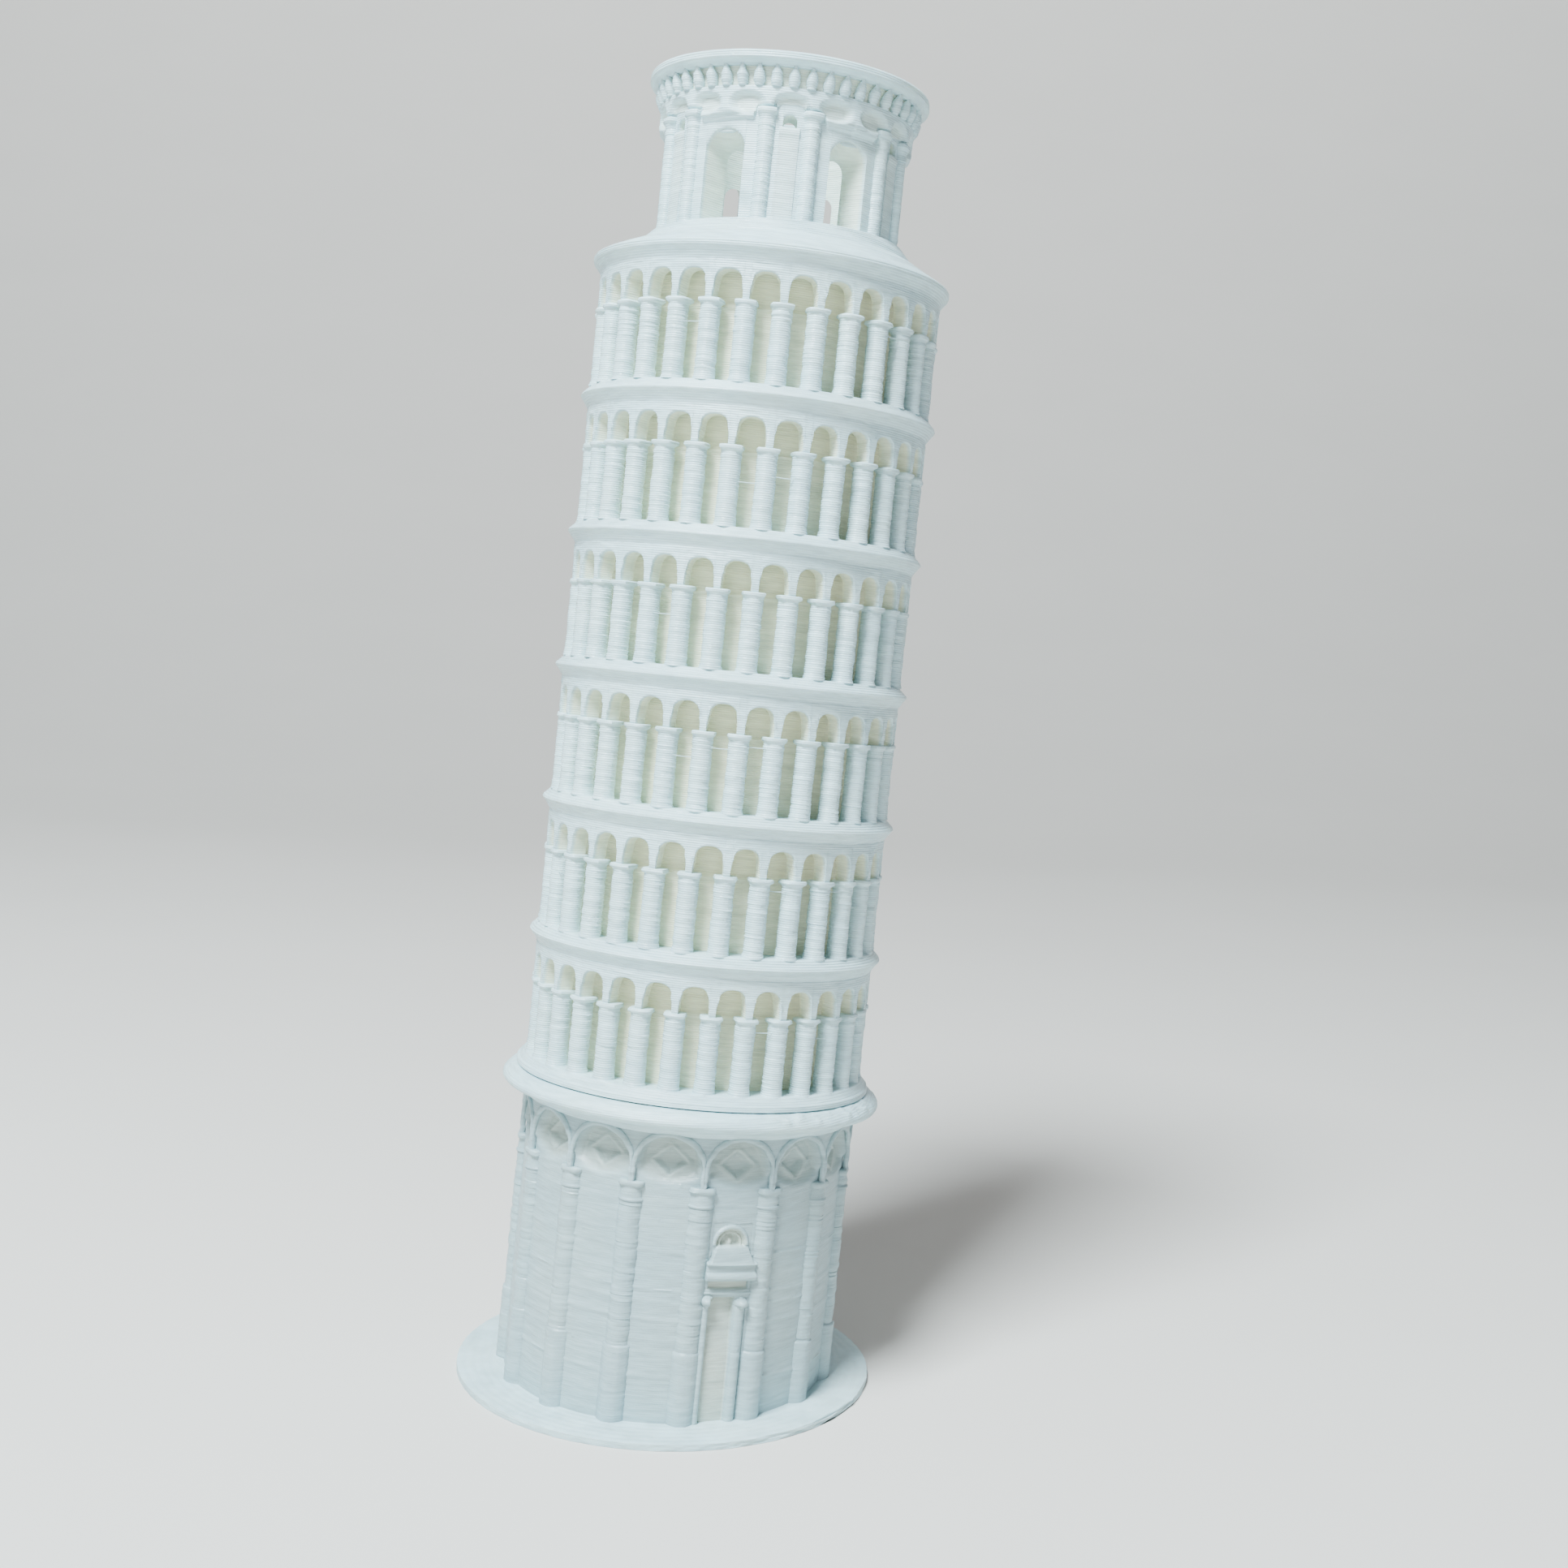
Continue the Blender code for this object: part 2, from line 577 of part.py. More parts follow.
def build_corbel_ring(axis):
    """The ring of small corbels under the crown: a toothed band, each tooth leaning out towards its top."""
    work = bmesh.new()
    low, high = BELFRY_TOP, BELFRY_TOP + CORBEL_HEIGHT
    spacing = 2.0 * math.pi / CORBELS
    root = BELFRY_FACE_RADIUS + CORBEL_ROOT
    base, tip = CORBEL_BASE_SHARE / 2, CORBEL_TIP_SHARE / 2
    outer_low, outer_high, inner_low, inner_high = [], [], [], []
    for index in range(CORBELS):
        middle = BELFRY_HEADING + spacing * index
        for side, out in ((-base, 0.0), (-tip, 1.0), (tip, 1.0), (base, 0.0)):
            heading = middle + side * spacing
            foot = root + out * CORBEL_FOOT_DEPTH
            head = CORBEL_RADIUS - CORBEL_DEPTH * (1.0 - out)
            outer_low.append(work.verts.new(around(foot, heading, low)))
            outer_high.append(work.verts.new(around(head, heading, high)))
        inner_low.append(work.verts.new(around(BELFRY_BORE_RADIUS, middle, low)))
        inner_high.append(work.verts.new(around(BELFRY_BORE_RADIUS, middle, high)))
    for one, other in ((outer_low, outer_high), (inner_low, inner_high)):
        strip(work, [*one, one[0]], [*other, other[0]])
    points = len(outer_low)
    for outer, inner in ((outer_low, inner_low), (outer_high, inner_high)):
        for index in range(CORBELS):
            ring = [outer[(4 * index + step) % points] for step in range(2, 7)]
            work.faces.new([inner[(index + 1) % CORBELS], inner[index], *ring])
    bmesh.ops.triangulate(work, faces=work.faces)
    add_piece("corbel_ring", work, axis, 0.97)


def build_crown(axis):
    """The plain open ring round the top."""
    low = BELFRY_TOP + CORBEL_HEIGHT + GAP
    high = low + CROWN_HEIGHT
    inner = CROWN_RADIUS - CROWN_WALL
    outline = [(inner, high), (CROWN_RADIUS, high), (CROWN_RADIUS, low), (inner, low)]
    add_piece("crown_rim", turned(outline, TURNED_SIDES), axis, 0.99)


def main():
    """Builds the model from the plinth upwards."""
    clear_scene()
    axis = tower_axis()
    build_plinth()
    build_ground_wall(axis)
    build_ground_arcade(axis)
    build_portal(axis)
    build_ground_cornice(axis)
    build_foot_disc(axis)
    for storey in range(1, STOREYS + 1):
        build_gallery(axis, storey)
        if storey < STOREYS:
            build_gallery_cornice(axis, storey)
    build_roof_ledge(axis)
    build_belfry_drum(axis)
    build_belfry_columns(axis)
    build_corbel_ring(axis)
    build_crown(axis)


main()
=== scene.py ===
"""Looks of a small white printed model of a round leaning bell tower on a thin disc plinth.

Lengths in the classes are millimetres. A place on the tower is a radius from its leaning axis, a heading
about that axis and a level along it. Headings run from the front towards the right, in radians, and levels
start at the plinth's underside. Tower.place turns the three into points in metres. The axis comes from the
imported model, and so do most levels and outer radii, so each surface lies where its own solid lies.
"""

import logging
import math
from dataclasses import dataclass
from enum import Enum

import bpy
import numpy as np
from mathutils import Matrix, Vector


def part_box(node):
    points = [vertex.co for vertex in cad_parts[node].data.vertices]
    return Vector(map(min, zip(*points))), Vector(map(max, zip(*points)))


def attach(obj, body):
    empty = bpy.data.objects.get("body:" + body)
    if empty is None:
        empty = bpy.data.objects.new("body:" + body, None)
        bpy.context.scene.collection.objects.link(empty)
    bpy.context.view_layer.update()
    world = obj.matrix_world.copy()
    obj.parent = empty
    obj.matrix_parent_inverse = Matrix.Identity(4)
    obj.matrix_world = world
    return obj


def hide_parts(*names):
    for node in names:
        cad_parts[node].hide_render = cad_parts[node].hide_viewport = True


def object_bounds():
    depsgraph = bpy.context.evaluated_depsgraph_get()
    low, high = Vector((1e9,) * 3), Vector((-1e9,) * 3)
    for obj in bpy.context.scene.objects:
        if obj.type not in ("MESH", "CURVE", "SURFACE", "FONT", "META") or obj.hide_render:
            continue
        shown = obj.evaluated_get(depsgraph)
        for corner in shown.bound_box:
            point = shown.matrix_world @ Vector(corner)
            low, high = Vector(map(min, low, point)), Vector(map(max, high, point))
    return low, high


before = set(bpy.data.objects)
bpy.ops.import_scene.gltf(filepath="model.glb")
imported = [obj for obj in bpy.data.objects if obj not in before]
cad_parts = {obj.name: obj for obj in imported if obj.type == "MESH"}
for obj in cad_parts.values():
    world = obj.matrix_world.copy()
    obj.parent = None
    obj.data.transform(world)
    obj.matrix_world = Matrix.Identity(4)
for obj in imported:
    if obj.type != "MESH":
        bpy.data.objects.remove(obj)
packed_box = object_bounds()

Array = np.ndarray

MM = 0.001
FULL_TURN = 2.0 * math.pi
LAYER = 0.2  # height of one printed layer
STREAK = 1.6  # length of one uneven stretch along a layer
BURY = 0.35  # how far a member runs into its neighbour, so that no joint shows
FRONT_ROWS, BACK_ROWS = 12, 3  # points up the front and down the back of a ring of arches
GALLERIES = 6  # the topmost one carries the roof and has no cornice of its own
log = logging.getLogger("tower")


# Shape maths


def ease(value: Array, start: float, end: float) -> Array:
    """Smooth step: 0 before start, 1 after end, 3t^2 - 2t^3 in between, where t is the share of the way.

    Args:
        value: the numbers to step.
        start: where the step leaves 0. It may be above end, for a falling step.
        end: where the step reaches 1.

    Returns:
        The stepped numbers, in the shape of value.
    """
    share = np.clip((value - start) / (end - start), 0.0, 1.0)
    return share * share * (3.0 - 2.0 * share)


def mound(value: Array, middle: float, reach: float) -> Array:
    """Half-round hump: the square root of 1 - t^2, where t is the distance from the middle over the reach."""
    return np.sqrt(np.clip(1.0 - ((value - middle) / reach) ** 2, 0.0, 1.0))


def scatter(cell: Array, seed: float) -> Array:
    """Even pseudo-random numbers from 0 to 1: the fraction of a large multiple of each cell number's sine."""
    return np.modf(np.abs(np.sin(cell * 12.9898 + seed * 78.233) * 43758.5453))[0]


def lumps(across: Array, along: Array, seed: float) -> Array:
    """Smooth noise from -1 to 1: scatter on a square lattice, eased between its four nearest corners.

    Args:
        across: place along the lattice's rows, one cell to each whole number.
        along: place up the lattice's columns.
        seed: picks the pattern.

    Returns:
        The noise, in the shape that across and along make together.
    """
    column, row = np.floor(across), np.floor(along)
    right, up = ease(across - column, 0.0, 1.0), ease(along - row, 0.0, 1.0)
    corner = [[scatter(column + i + 57.0 * (row + j), seed) for i in (0, 1)] for j in (0, 1)]
    low, high = (pair[0] + (pair[1] - pair[0]) * right for pair in corner)
    return 2.0 * (low + (high - low) * up) - 1.0


def strata(radius: float, heading: Array, level: Array, seed: float, depth: float = 0.03) -> Array:
    """Unevenness of printed layers: noise that changes from layer to layer and slowly along each one.

    Args:
        radius: radius that headings are unrolled at.
        heading: headings of the points.
        level: levels of the points.
        seed: picks the pattern.
        depth: largest rise or fall.

    Returns:
        How far each point stands proud.
    """
    run, layer = heading * radius / STREAK, level / LAYER
    fine = lumps(run * 2.7, layer + 0.5, seed + 3.0)
    return depth * (0.6 * lumps(run, layer, seed) + 0.4 * fine)


@dataclass(frozen=True)
class Span:
    """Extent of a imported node, round and along the tower's axis."""

    low: float
    high: float
    inner: float
    outer: float


class Tower:
    """The leaning axis, and the way from radius, heading and level to points."""

    def __init__(self, foot: str, top: str) -> None:
        """Finds the axis.

        Args:
            foot: name of a low node that is round about the axis.
            top: name of a high one.
        """
        low, high = (sum(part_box(node), Vector()) / 2.0 for node in (foot, top))
        turn = Vector((0.0, 0.0, 1.0)).rotation_difference(high - low)
        self.tilt = np.array(turn.to_matrix())

    @property
    def axis(self) -> Array:
        """Unit vector up the axis."""
        return self.tilt[:, 2]

    def place(self, radius: Array, heading: Array, level: Array) -> Array:
        """Points at these radii, headings and levels: polar to square coordinates, then tilted by the lean.

        Args:
            radius: distances from the axis.
            heading: angles about it from the front.
            level: distances along it.

        Returns:
            Points in metres, with a last axis of 3.
        """
        radius, heading, level = np.broadcast_arrays(radius, heading, level)
        upright = np.stack([radius * np.sin(heading), -radius * np.cos(heading), level], axis=-1)
        return upright @ self.tilt.T * MM

    def lift(self, radius: Array, heading: Array) -> Array:
        """Height over the table that the lean gives a point of this radius and heading at level 0."""
        return self.tilt[2, 0] * radius * np.sin(heading) - self.tilt[2, 1] * radius * np.cos(heading)

    def level_at(self, radius: Array, heading: Array, height: Array) -> Array:
        """Level at which a point of this radius and heading is at a height over the table."""
        return (height - self.lift(radius, heading)) / self.tilt[2, 2]

    def height_at(self, radius: Array, heading: Array, level: Array) -> Array:
        """Height over the table of a point of this radius, heading and level."""
        return level * self.tilt[2, 2] + self.lift(radius, heading)

    def span(self, node: str) -> Span:
        """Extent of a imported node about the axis.

        Args:
            node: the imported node's name.

        Returns:
            Its lowest and highest level, and its smallest and largest radius.
        """
        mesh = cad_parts[node].data
        points = np.empty(len(mesh.vertices) * 3, np.float32)
        mesh.vertices.foreach_get("co", points)
        upright = points.reshape(-1, 3) / MM @ self.tilt
        radius = np.hypot(upright[:, 0], upright[:, 1])
        return Span(upright[:, 2].min(), upright[:, 2].max(), radius.min(), radius.max())


def joined(rows: int, around: int, closed: bool) -> Array:
    """Quads of a grid that closes on itself around, and along its rows too if closed.

    Args:
        rows: number of rows.
        around: points in a row.
        closed: whether the last row joins the first.

    Returns:
        Indices, four to a quad.
    """
    row = np.arange(rows if closed else rows - 1)[:, None]
    column = np.arange(around)[None, :]
    after, above = (column + 1) % around, (row + 1) % rows
    corners = (row * around + column, row * around + after, above * around + after, above * around + column)
    return np.stack(np.broadcast_arrays(*corners), axis=-1).reshape(-1, 4)


class Surface:
    """Closed patches that are joined into one piece."""

    def __init__(self, name: str) -> None:
        """Starts an empty piece.

        Args:
            name: the piece's name.
        """
        self.name = name
        self.points: list[Array] = []
        self.quads: list[Array] = []
        self.fans: list[Array] = []
        self.hollow: list[Array] = []
        self.count = 0

    def _keep(self, points: Array, quads: Array, fans: Array, hollow: Array) -> None:
        """Adds copies of a closed patch, turned outwards.

        The patch is turned when the volume under its faces, the sum of a . (b x c), comes out negative.

        Args:
            points: copies, points, 3.
            quads: four-cornered faces of one copy.
            fans: three-cornered faces of one copy.
            hollow: how deep in shade each point lies, 0 to 1, in the shape of the points.
        """
        halves = np.concatenate([quads[:, [0, 1, 2]], quads[:, [0, 2, 3]], fans])
        centred = points - points.mean(axis=1, keepdims=True)
        a, b, c = (centred[0, halves[:, corner]] for corner in range(3))
        if np.einsum("ij,ij->i", a, np.cross(b, c)).sum() < 0.0:
            quads, fans = quads[:, ::-1], fans[:, ::-1]
        starts = self.count + np.arange(len(points))[:, None, None] * points.shape[1]
        self.quads.append((quads[None] + starts).reshape(-1, 4))
        self.fans.append((fans[None] + starts).reshape(-1, 3))
        self.points.append(points.reshape(-1, 3))
        self.hollow.append(np.broadcast_to(hollow, points.shape[:2]).reshape(-1))
        self.count += points.shape[0] * points.shape[1]

    def rods(self, rows: Array, hollow: Array | float = 0.0) -> None:
        """Adds rods: each is a stack of closed rows, shut at both ends by a fan about the end row's centre.

        Args:
            rows: rods, rows, points around, 3. One rod may leave out the first axis.
            hollow: shade of the points, for rods, rows and points around.
        """
        rows = rows.reshape(-1, *rows.shape[-3:])
        copies, stack, around = rows.shape[:3]
        shade = np.broadcast_to(hollow, rows.shape[:3]).reshape(copies, -1)
        ends = rows[:, [0, -1]].mean(axis=2)
        column = np.arange(around)
        after, first, last = (column + 1) % around, stack * around, (stack - 1) * around
        low = np.stack([after, column, np.full(around, first)], axis=-1)
        high = np.stack([last + column, last + after, np.full(around, first + 1)], axis=-1)
        points = np.concatenate([rows.reshape(copies, -1, 3), ends], axis=1)
        shade = np.concatenate([shade, shade[:, :1], shade[:, -1:]], axis=1)
        self._keep(points, joined(stack, around, closed=False), np.concatenate([low, high]), shade)

    def ring(self, loops: Array, hollow: Array | float = 0.0) -> None:
        """Adds a ring: closed sections set one after another until the last joins the first.

        Args:
            loops: sections, points around each, 3.
            hollow: shade of the points, for sections and points around.
        """
        shade = np.broadcast_to(hollow, loops.shape[:2]).reshape(1, -1)
        quads = joined(*loops.shape[:2], closed=True)
        self._keep(loops.reshape(1, -1, 3), quads, np.empty((0, 3), np.int64), shade)

    def build(self, material: bpy.types.Material, *nodes: str, crease: float = 50.0) -> bpy.types.Object:
        """Makes the object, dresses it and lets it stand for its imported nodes.

        Args:
            material: its finish.
            nodes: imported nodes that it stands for.
            crease: angle in degrees past which an edge stays sharp.

        Returns:
            The finished piece.
        """
        points, quads, fans = (np.concatenate(part) for part in (self.points, self.quads, self.fans))
        mesh = bpy.data.meshes.new(self.name)
        mesh.vertices.add(len(points))
        mesh.vertices.foreach_set("co", points.astype(np.float32).ravel())
        corners = np.concatenate([quads.ravel(), fans.ravel()]).astype(np.int32)
        mesh.loops.add(len(corners))
        mesh.loops.foreach_set("vertex_index", corners)
        sizes = np.repeat([4, 3], [len(quads), len(fans)])
        mesh.polygons.add(len(sizes))
        mesh.polygons.foreach_set("loop_start", (np.cumsum(sizes) - sizes).astype(np.int32))
        mesh.update(calc_edges=True)
        # Each point's painted shade, which the finish turns into a cream glow
        shade = mesh.attributes.new("hollow", "FLOAT", "POINT")
        shade.data.foreach_set("value", np.concatenate(self.hollow).astype(np.float32))
        mesh.shade_smooth()
        mesh.set_sharp_from_angle(angle=math.radians(crease))
        mesh.materials.append(material)
        piece = bpy.data.objects.new(self.name, mesh)
        bpy.context.scene.collection.objects.link(piece)
        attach(piece, "root")
        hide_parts(*nodes)
        log.info("%s: %d faces, stands for %s", self.name, len(sizes), ", ".join(nodes))
        return piece


# Finishes


class Plate(Enum):
    """The bed that a section was printed on: its layers lie parallel to it."""

    PLINTH = "parallel to the plinth"
    FOOT_DISC = "square to the tower's axis"


class Graph:
    """Short ways of adding and wiring a material's nodes."""

    def __init__(self, material: bpy.types.Material) -> None:
        """Clears the material's nodes and holds its tree.

        Args:
            material: the material to work on.
        """
        material.use_nodes = True
        self.tree = material.node_tree
        self.tree.nodes.clear()

    def add(self, kind: str, inputs: dict | None = None, **settings: object) -> bpy.types.Node:
        """Adds a node.

        Args:
            kind: Blender's name of the node, without ShaderNode.
            inputs: socket, by name or number, to the value it holds or the output that feeds it.
            settings: the node's own options.

        Returns:
            The node.
        """
        node = self.tree.nodes.new("ShaderNode" + kind)
        for option, value in settings.items():
            setattr(node, option, value)
        for socket, value in (inputs or {}).items():
            if isinstance(value, bpy.types.NodeSocket):
                self.tree.links.new(value, node.inputs[socket])
            else:
                node.inputs[socket].default_value = value
        return node

    def maths(self, operation: str, *terms: float | bpy.types.NodeSocket) -> bpy.types.NodeSocket:
        """One arithmetic step on numbers or outputs, and its result."""
        return self.add("Math", dict(enumerate(terms)), operation=operation).outputs[0]

    def noise(self, place: bpy.types.NodeSocket, scale: float, detail: float) -> bpy.types.NodeSocket:
        """Noise at a place, with this many cells to a metre."""
        return self.add("TexNoise", {"Vector": place, "Scale": scale, "Detail": detail}).outputs[0]

    def drawn_out(self, place: bpy.types.NodeSocket, stretch: float) -> bpy.types.NodeSocket:
        """A place whose X and Y count for less, so that a noise there is drawn out along the layers."""
        return self.add("Mapping", {0: place, 3: (stretch, stretch, 1.0)}, vector_type="POINT").outputs[0]

    def ranged(self, value: bpy.types.NodeSocket, least: float, most: float) -> bpy.types.NodeSocket:
        """A noise, whose bulk lies from 0.3 to 0.7, spread from least to most."""
        return self.add("MapRange", {0: value, 1: 0.3, 2: 0.7, 3: least, 4: most}).outputs[0]


@dataclass(frozen=True)
class PrintedPlastic:
    """White printing plastic with its layer lines, uneven bead, fine grain and small blobs.

    Noise scales are cells to a metre. A stretch under 1 draws a noise out along the layers.
    """

    cool: tuple[float, float, float, float] = (0.50, 0.725, 0.80, 1.0)
    # cream: colour painted into shaded hollows as a glow, standing in for light that passes through and
    # bounces about inside the plastic there; the cloud noise also leans towards it
    cream: tuple[float, float, float, float] = (0.97, 0.97, 0.70, 1.0)
    roughness: float = 0.36
    relief: float = 0.06  # height of the unevenness that the surface shading shows
    translucency: float = 0.16
    swirl: float = 0.0  # rings of the top skin, as on the plinth
    # On the ground storey's walls a tone below 1 is painted shade, since the plastic is the same there.
    tone: float = 1.0  # brightness beside that of the other sections
    bead: float = 0.45  # share of the layers' own rounding in the relief
    streak_scale: float = 4200.0
    streak_stretch: float = 0.13
    band_scale: float = 1500.0
    band_stretch: float = 0.05
    grain_scale: float = 5200.0
    cloud_scale: float = 160.0
    blob_scale: float = 330.0
    blob_size: float = 0.085  # as a share of a blob's cell
    swirl_scale: float = 380.0
    band_share: float = 0.4  # of the bands in the streaks
    streak_share: float = 1.1  # this and the next two: shares in the relief
    grain_share: float = 0.35
    blob_share: float = 0.9
    cloud_warmth: float = 0.25
    tones: tuple[float, float] = (0.8, 1.1)  # of the darkest and the palest streak
    glosses: tuple[float, float] = (-0.08, 0.1)  # roughness that those streaks add

    def material(self, name: str, tower: Tower, plate: Plate) -> bpy.types.Material:
        """Builds the finish.

        Args:
            name: the material's name.
            tower: gives the direction of the layers of the upper section.
            plate: the bed that the section was printed on.

        Returns:
            The material.
        """
        material = bpy.data.materials.new(name)
        graph = Graph(material)
        tilt = Matrix(tower.tilt) if plate is Plate.FOOT_DISC else Matrix.Identity(3)
        turn = tilt.to_euler()
        coordinates = graph.add("TexCoord").outputs["Object"]
        upright = graph.add("Mapping", {0: coordinates, 2: turn}, vector_type="TEXTURE").outputs[0]
        level = graph.add("SeparateXYZ", {0: upright}).outputs["Z"]
        wave = graph.maths("COSINE", graph.maths("MULTIPLY", level, math.pi / (LAYER * MM)))
        bead = graph.maths("ABSOLUTE", wave)
        streaks = graph.noise(graph.drawn_out(upright, self.streak_stretch), self.streak_scale, 2.0)
        bands = graph.noise(graph.drawn_out(upright, self.band_stretch), self.band_scale, 1.0)
        streaks = graph.maths("MULTIPLY", streaks, 1.0 - self.band_share)
        streaks = graph.maths("MULTIPLY_ADD", bands, self.band_share, streaks)
        grain = graph.noise(coordinates, self.grain_scale, 2.0)
        clouds = graph.noise(coordinates, self.cloud_scale, 3.0)
        cells = graph.add("TexVoronoi", {"Vector": coordinates, "Scale": self.blob_scale, "Randomness": 1.0})
        blob_range = {0: cells.outputs["Distance"], 1: 0.0, 2: self.blob_size, 3: 1.0, 4: 0.0}
        blobs = graph.add("MapRange", blob_range).outputs[0]
        height = graph.maths("MULTIPLY", streaks, self.streak_share)
        height = graph.maths("MULTIPLY_ADD", bead, self.bead, height)
        height = graph.maths("MULTIPLY_ADD", grain, self.grain_share, height)
        height = graph.maths("MULTIPLY_ADD", blobs, self.blob_share, height)
        if self.swirl:
            lines = {"Vector": coordinates, "Scale": self.swirl_scale, "Distortion": 1.5, "Detail": 1.0}
            rings = graph.add("TexWave", lines, wave_type="RINGS", rings_direction="Z")
            height = graph.maths("MULTIPLY_ADD", rings.outputs["Fac"], self.swirl, height)
        bump = graph.add("Bump", {"Strength": 1.0, "Distance": self.relief * MM, "Height": height})
        # Painted shade: the hollow attribute, how deep in shade a point lies, tints the point towards cream
        # as a painted glow. The cloud noise adds a random warm tint on top.
        painted_glow_and_clouds = graph.add("Attribute", attribute_name="hollow", attribute_type="GEOMETRY").outputs["Fac"]
        painted_glow_and_clouds = graph.maths("MULTIPLY_ADD", clouds, self.cloud_warmth, painted_glow_and_clouds)
        tint = graph.add("Mix", {0: painted_glow_and_clouds, 6: self.cool, 7: self.cream}, data_type="RGBA").outputs[2]
        tone = graph.ranged(streaks, self.tones[0] * self.tone, self.tones[1] * self.tone)
        grey = graph.add("CombineColor", {0: tone, 1: tone, 2: tone}).outputs[0]
        product = {"data_type": "RGBA", "blend_type": "MULTIPLY"}
        colour = graph.add("Mix", {0: 1.0, 6: tint, 7: grey}, **product).outputs[2]
        gloss = graph.ranged(streaks, self.roughness + self.glosses[0], self.roughness + self.glosses[1])
        shader = graph.add("BsdfPrincipled", {
            "Base Color": colour,
            "Roughness": gloss,
            "IOR": 1.46,
            "Subsurface Weight": self.translucency,
            "Subsurface Radius": (1.0, 0.85, 0.6),
            "Subsurface Scale": 0.0012,
            "Normal": bump.outputs[0],
        })
        graph.add("OutputMaterial", {"Surface": shader.outputs[0]})
        return material


# Members


@dataclass(frozen=True)
class Plinth:
    """The round plate, three layers thick, with a slightly uneven edge."""

    headings: int = 360
    side_rows: int = 13
    crown: tuple[float, ...] = (0.995, 0.97, 0.9, 0.75, 0.5, 0.25, 0.06)  # radii of the flats, as shares
    edge_round: float = 0.06
    bulge_heading: float = 0.9  # where the edge is most uneven
    bulge: float = 0.32

    def build(self, material: bpy.types.Material) -> bpy.types.Object:
        """A turned plate: its edge swells at each layer and dips where the bead ran unevenly.

        Args:
            material: the piece's finish.

        Returns:
            The finished piece.
        """
        low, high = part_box("plinth_disc")
        radius, thickness = (high.x - low.x) / 2.0 / MM, (high.z - low.z) / MM
        heading = np.linspace(0.0, FULL_TURN, self.headings, endpoint=False)[:, None]
        share = np.linspace(0.0, 1.0, self.side_rows)[None, :]
        side = radius - self.edge_round * (1.0 - mound(share * thickness / LAYER % 1.0, 0.5, 0.6))
        near = ease(np.abs(heading - self.bulge_heading), 0.8, 0.0)
        side = side - near * self.bulge * (0.5 + 0.5 * lumps(heading * 14.0, share * 3.0, 4.0)) - 0.03
        side = side - 0.035 * (1.0 + lumps(heading * 52.0, share * 3.0, 5.0))
        flat = np.ones((self.headings, len(self.crown)))
        crown = np.array(self.crown)[None, :] * (radius - 0.1) * flat
        radii = np.concatenate([crown[:, ::-1], side, crown], axis=1)
        rise = np.broadcast_to(share * thickness, side.shape)
        heights = np.concatenate([0.0 * flat, rise, thickness * flat], axis=1)
        points = np.stack([radii * np.sin(heading), -radii * np.cos(heading), heights], axis=-1) * MM
        plate = Surface("plinth")
        plate.rods(points.transpose(1, 0, 2))
        return plate.build(material, "plinth_disc")


@dataclass(frozen=True)
class Column:
    """A round column or half-column: shaft, neck ring, bell capital and square abacus."""

    centre: float  # radius of its own axis from the tower's
    shaft: float
    capital: float  # height of bell and abacus together
    abacus: float  # half the slab's width
    slab: float = 0.34
    flare: float = 0.22  # swelling at the foot
    flare_height: float = 0.28
    neck: float = 0.07
    neck_reach: float = 0.16
    bead: float = 0.03  # how far each layer's middle stands out from its edges
    around: int = 14
    roughness: float = 0.035

    def rows(self, tower: Tower, headings: Array, foot: Array, top: float, seed: float) -> Array:
        """Rows up each column.

        The plan is a superellipse, round on the shaft and squarer at the abacus: at the angle a its reach is
        (|cos a|^p + |sin a|^p)^(-1/p). The half-width follows the level, and each layer is shifted and
        swollen a little by noise.

        Args:
            tower: places the points.
            headings: one for each column.
            foot: level of the foot, for columns and points around.
            top: level of the top of the abacus.
            seed: picks the unevenness.

        Returns:
            Points in metres, for columns, rows and points around.
        """
        bell = top - self.capital
        foot = np.broadcast_to(foot, (len(headings), self.around))[:, None, :]
        halves = np.arange(2 * int((bell - foot.min()) / LAYER) + 1)
        layers = halves[None, :, None] / halves[-1]
        shaft_level = foot + (bell - foot) * layers
        head = np.concatenate([
            bell + (self.capital - self.slab) * np.array([0.06, 0.14, 0.3, 0.5, 0.75, 0.95]),
            top - self.slab * np.array([0.9, 0.7, 0.35, 0.1, 0.0]),
        ])[None, :, None]
        head = np.broadcast_to(head, (len(headings), head.shape[1], self.around))
        level = np.concatenate([shaft_level, head], axis=1)
        below = level - foot
        width = self.shaft + self.flare * np.exp(-below / self.flare_height)
        width = width + self.neck * mound(level, bell, self.neck_reach)
        width[:, :len(halves)] += self.bead * (halves % 2 - 0.5)[None, :, None]
        slab_low = top - self.slab
        width = width + (self.abacus * 0.9 - self.shaft) * ease(level, (bell + slab_low) / 2.0, slab_low)
        square = ease(level, slab_low - 0.1, slab_low + 0.05)
        rounded = 0.82 + 0.18 * mound(level, (top + slab_low) / 2.0, self.slab * 0.62)
        width = np.where(level >= slab_low, self.abacus * rounded, width)
        angle = np.linspace(0.0, FULL_TURN, self.around, endpoint=False)[None, None, :]
        power = 2.0 + 3.0 * square
        cosine, sine = np.cos(angle), np.sin(angle)
        reach = (np.abs(cosine) ** power + np.abs(sine) ** power) ** (-1.0 / power)
        number = np.arange(len(headings))[:, None, None]
        layer = np.round(level / LAYER)
        drift = self.roughness * (scatter(layer + 31.0 * number, seed) - 0.5)
        swell = 1.0 + self.roughness * (scatter(layer + 17.0 * number, seed + 1.0) - 0.5) * 1.4
        swell = swell + self.roughness * 1.2 * lumps(angle * 1.3 + number * 9.0, level * 1.8, seed + 2.0)
        out = self.centre + width * reach * cosine * swell
        across = width * reach * sine * swell + drift
        heading = np.asarray(headings)[:, None, None] + np.arctan2(across, out)
        return tower.place(np.hypot(out, across), heading, level)


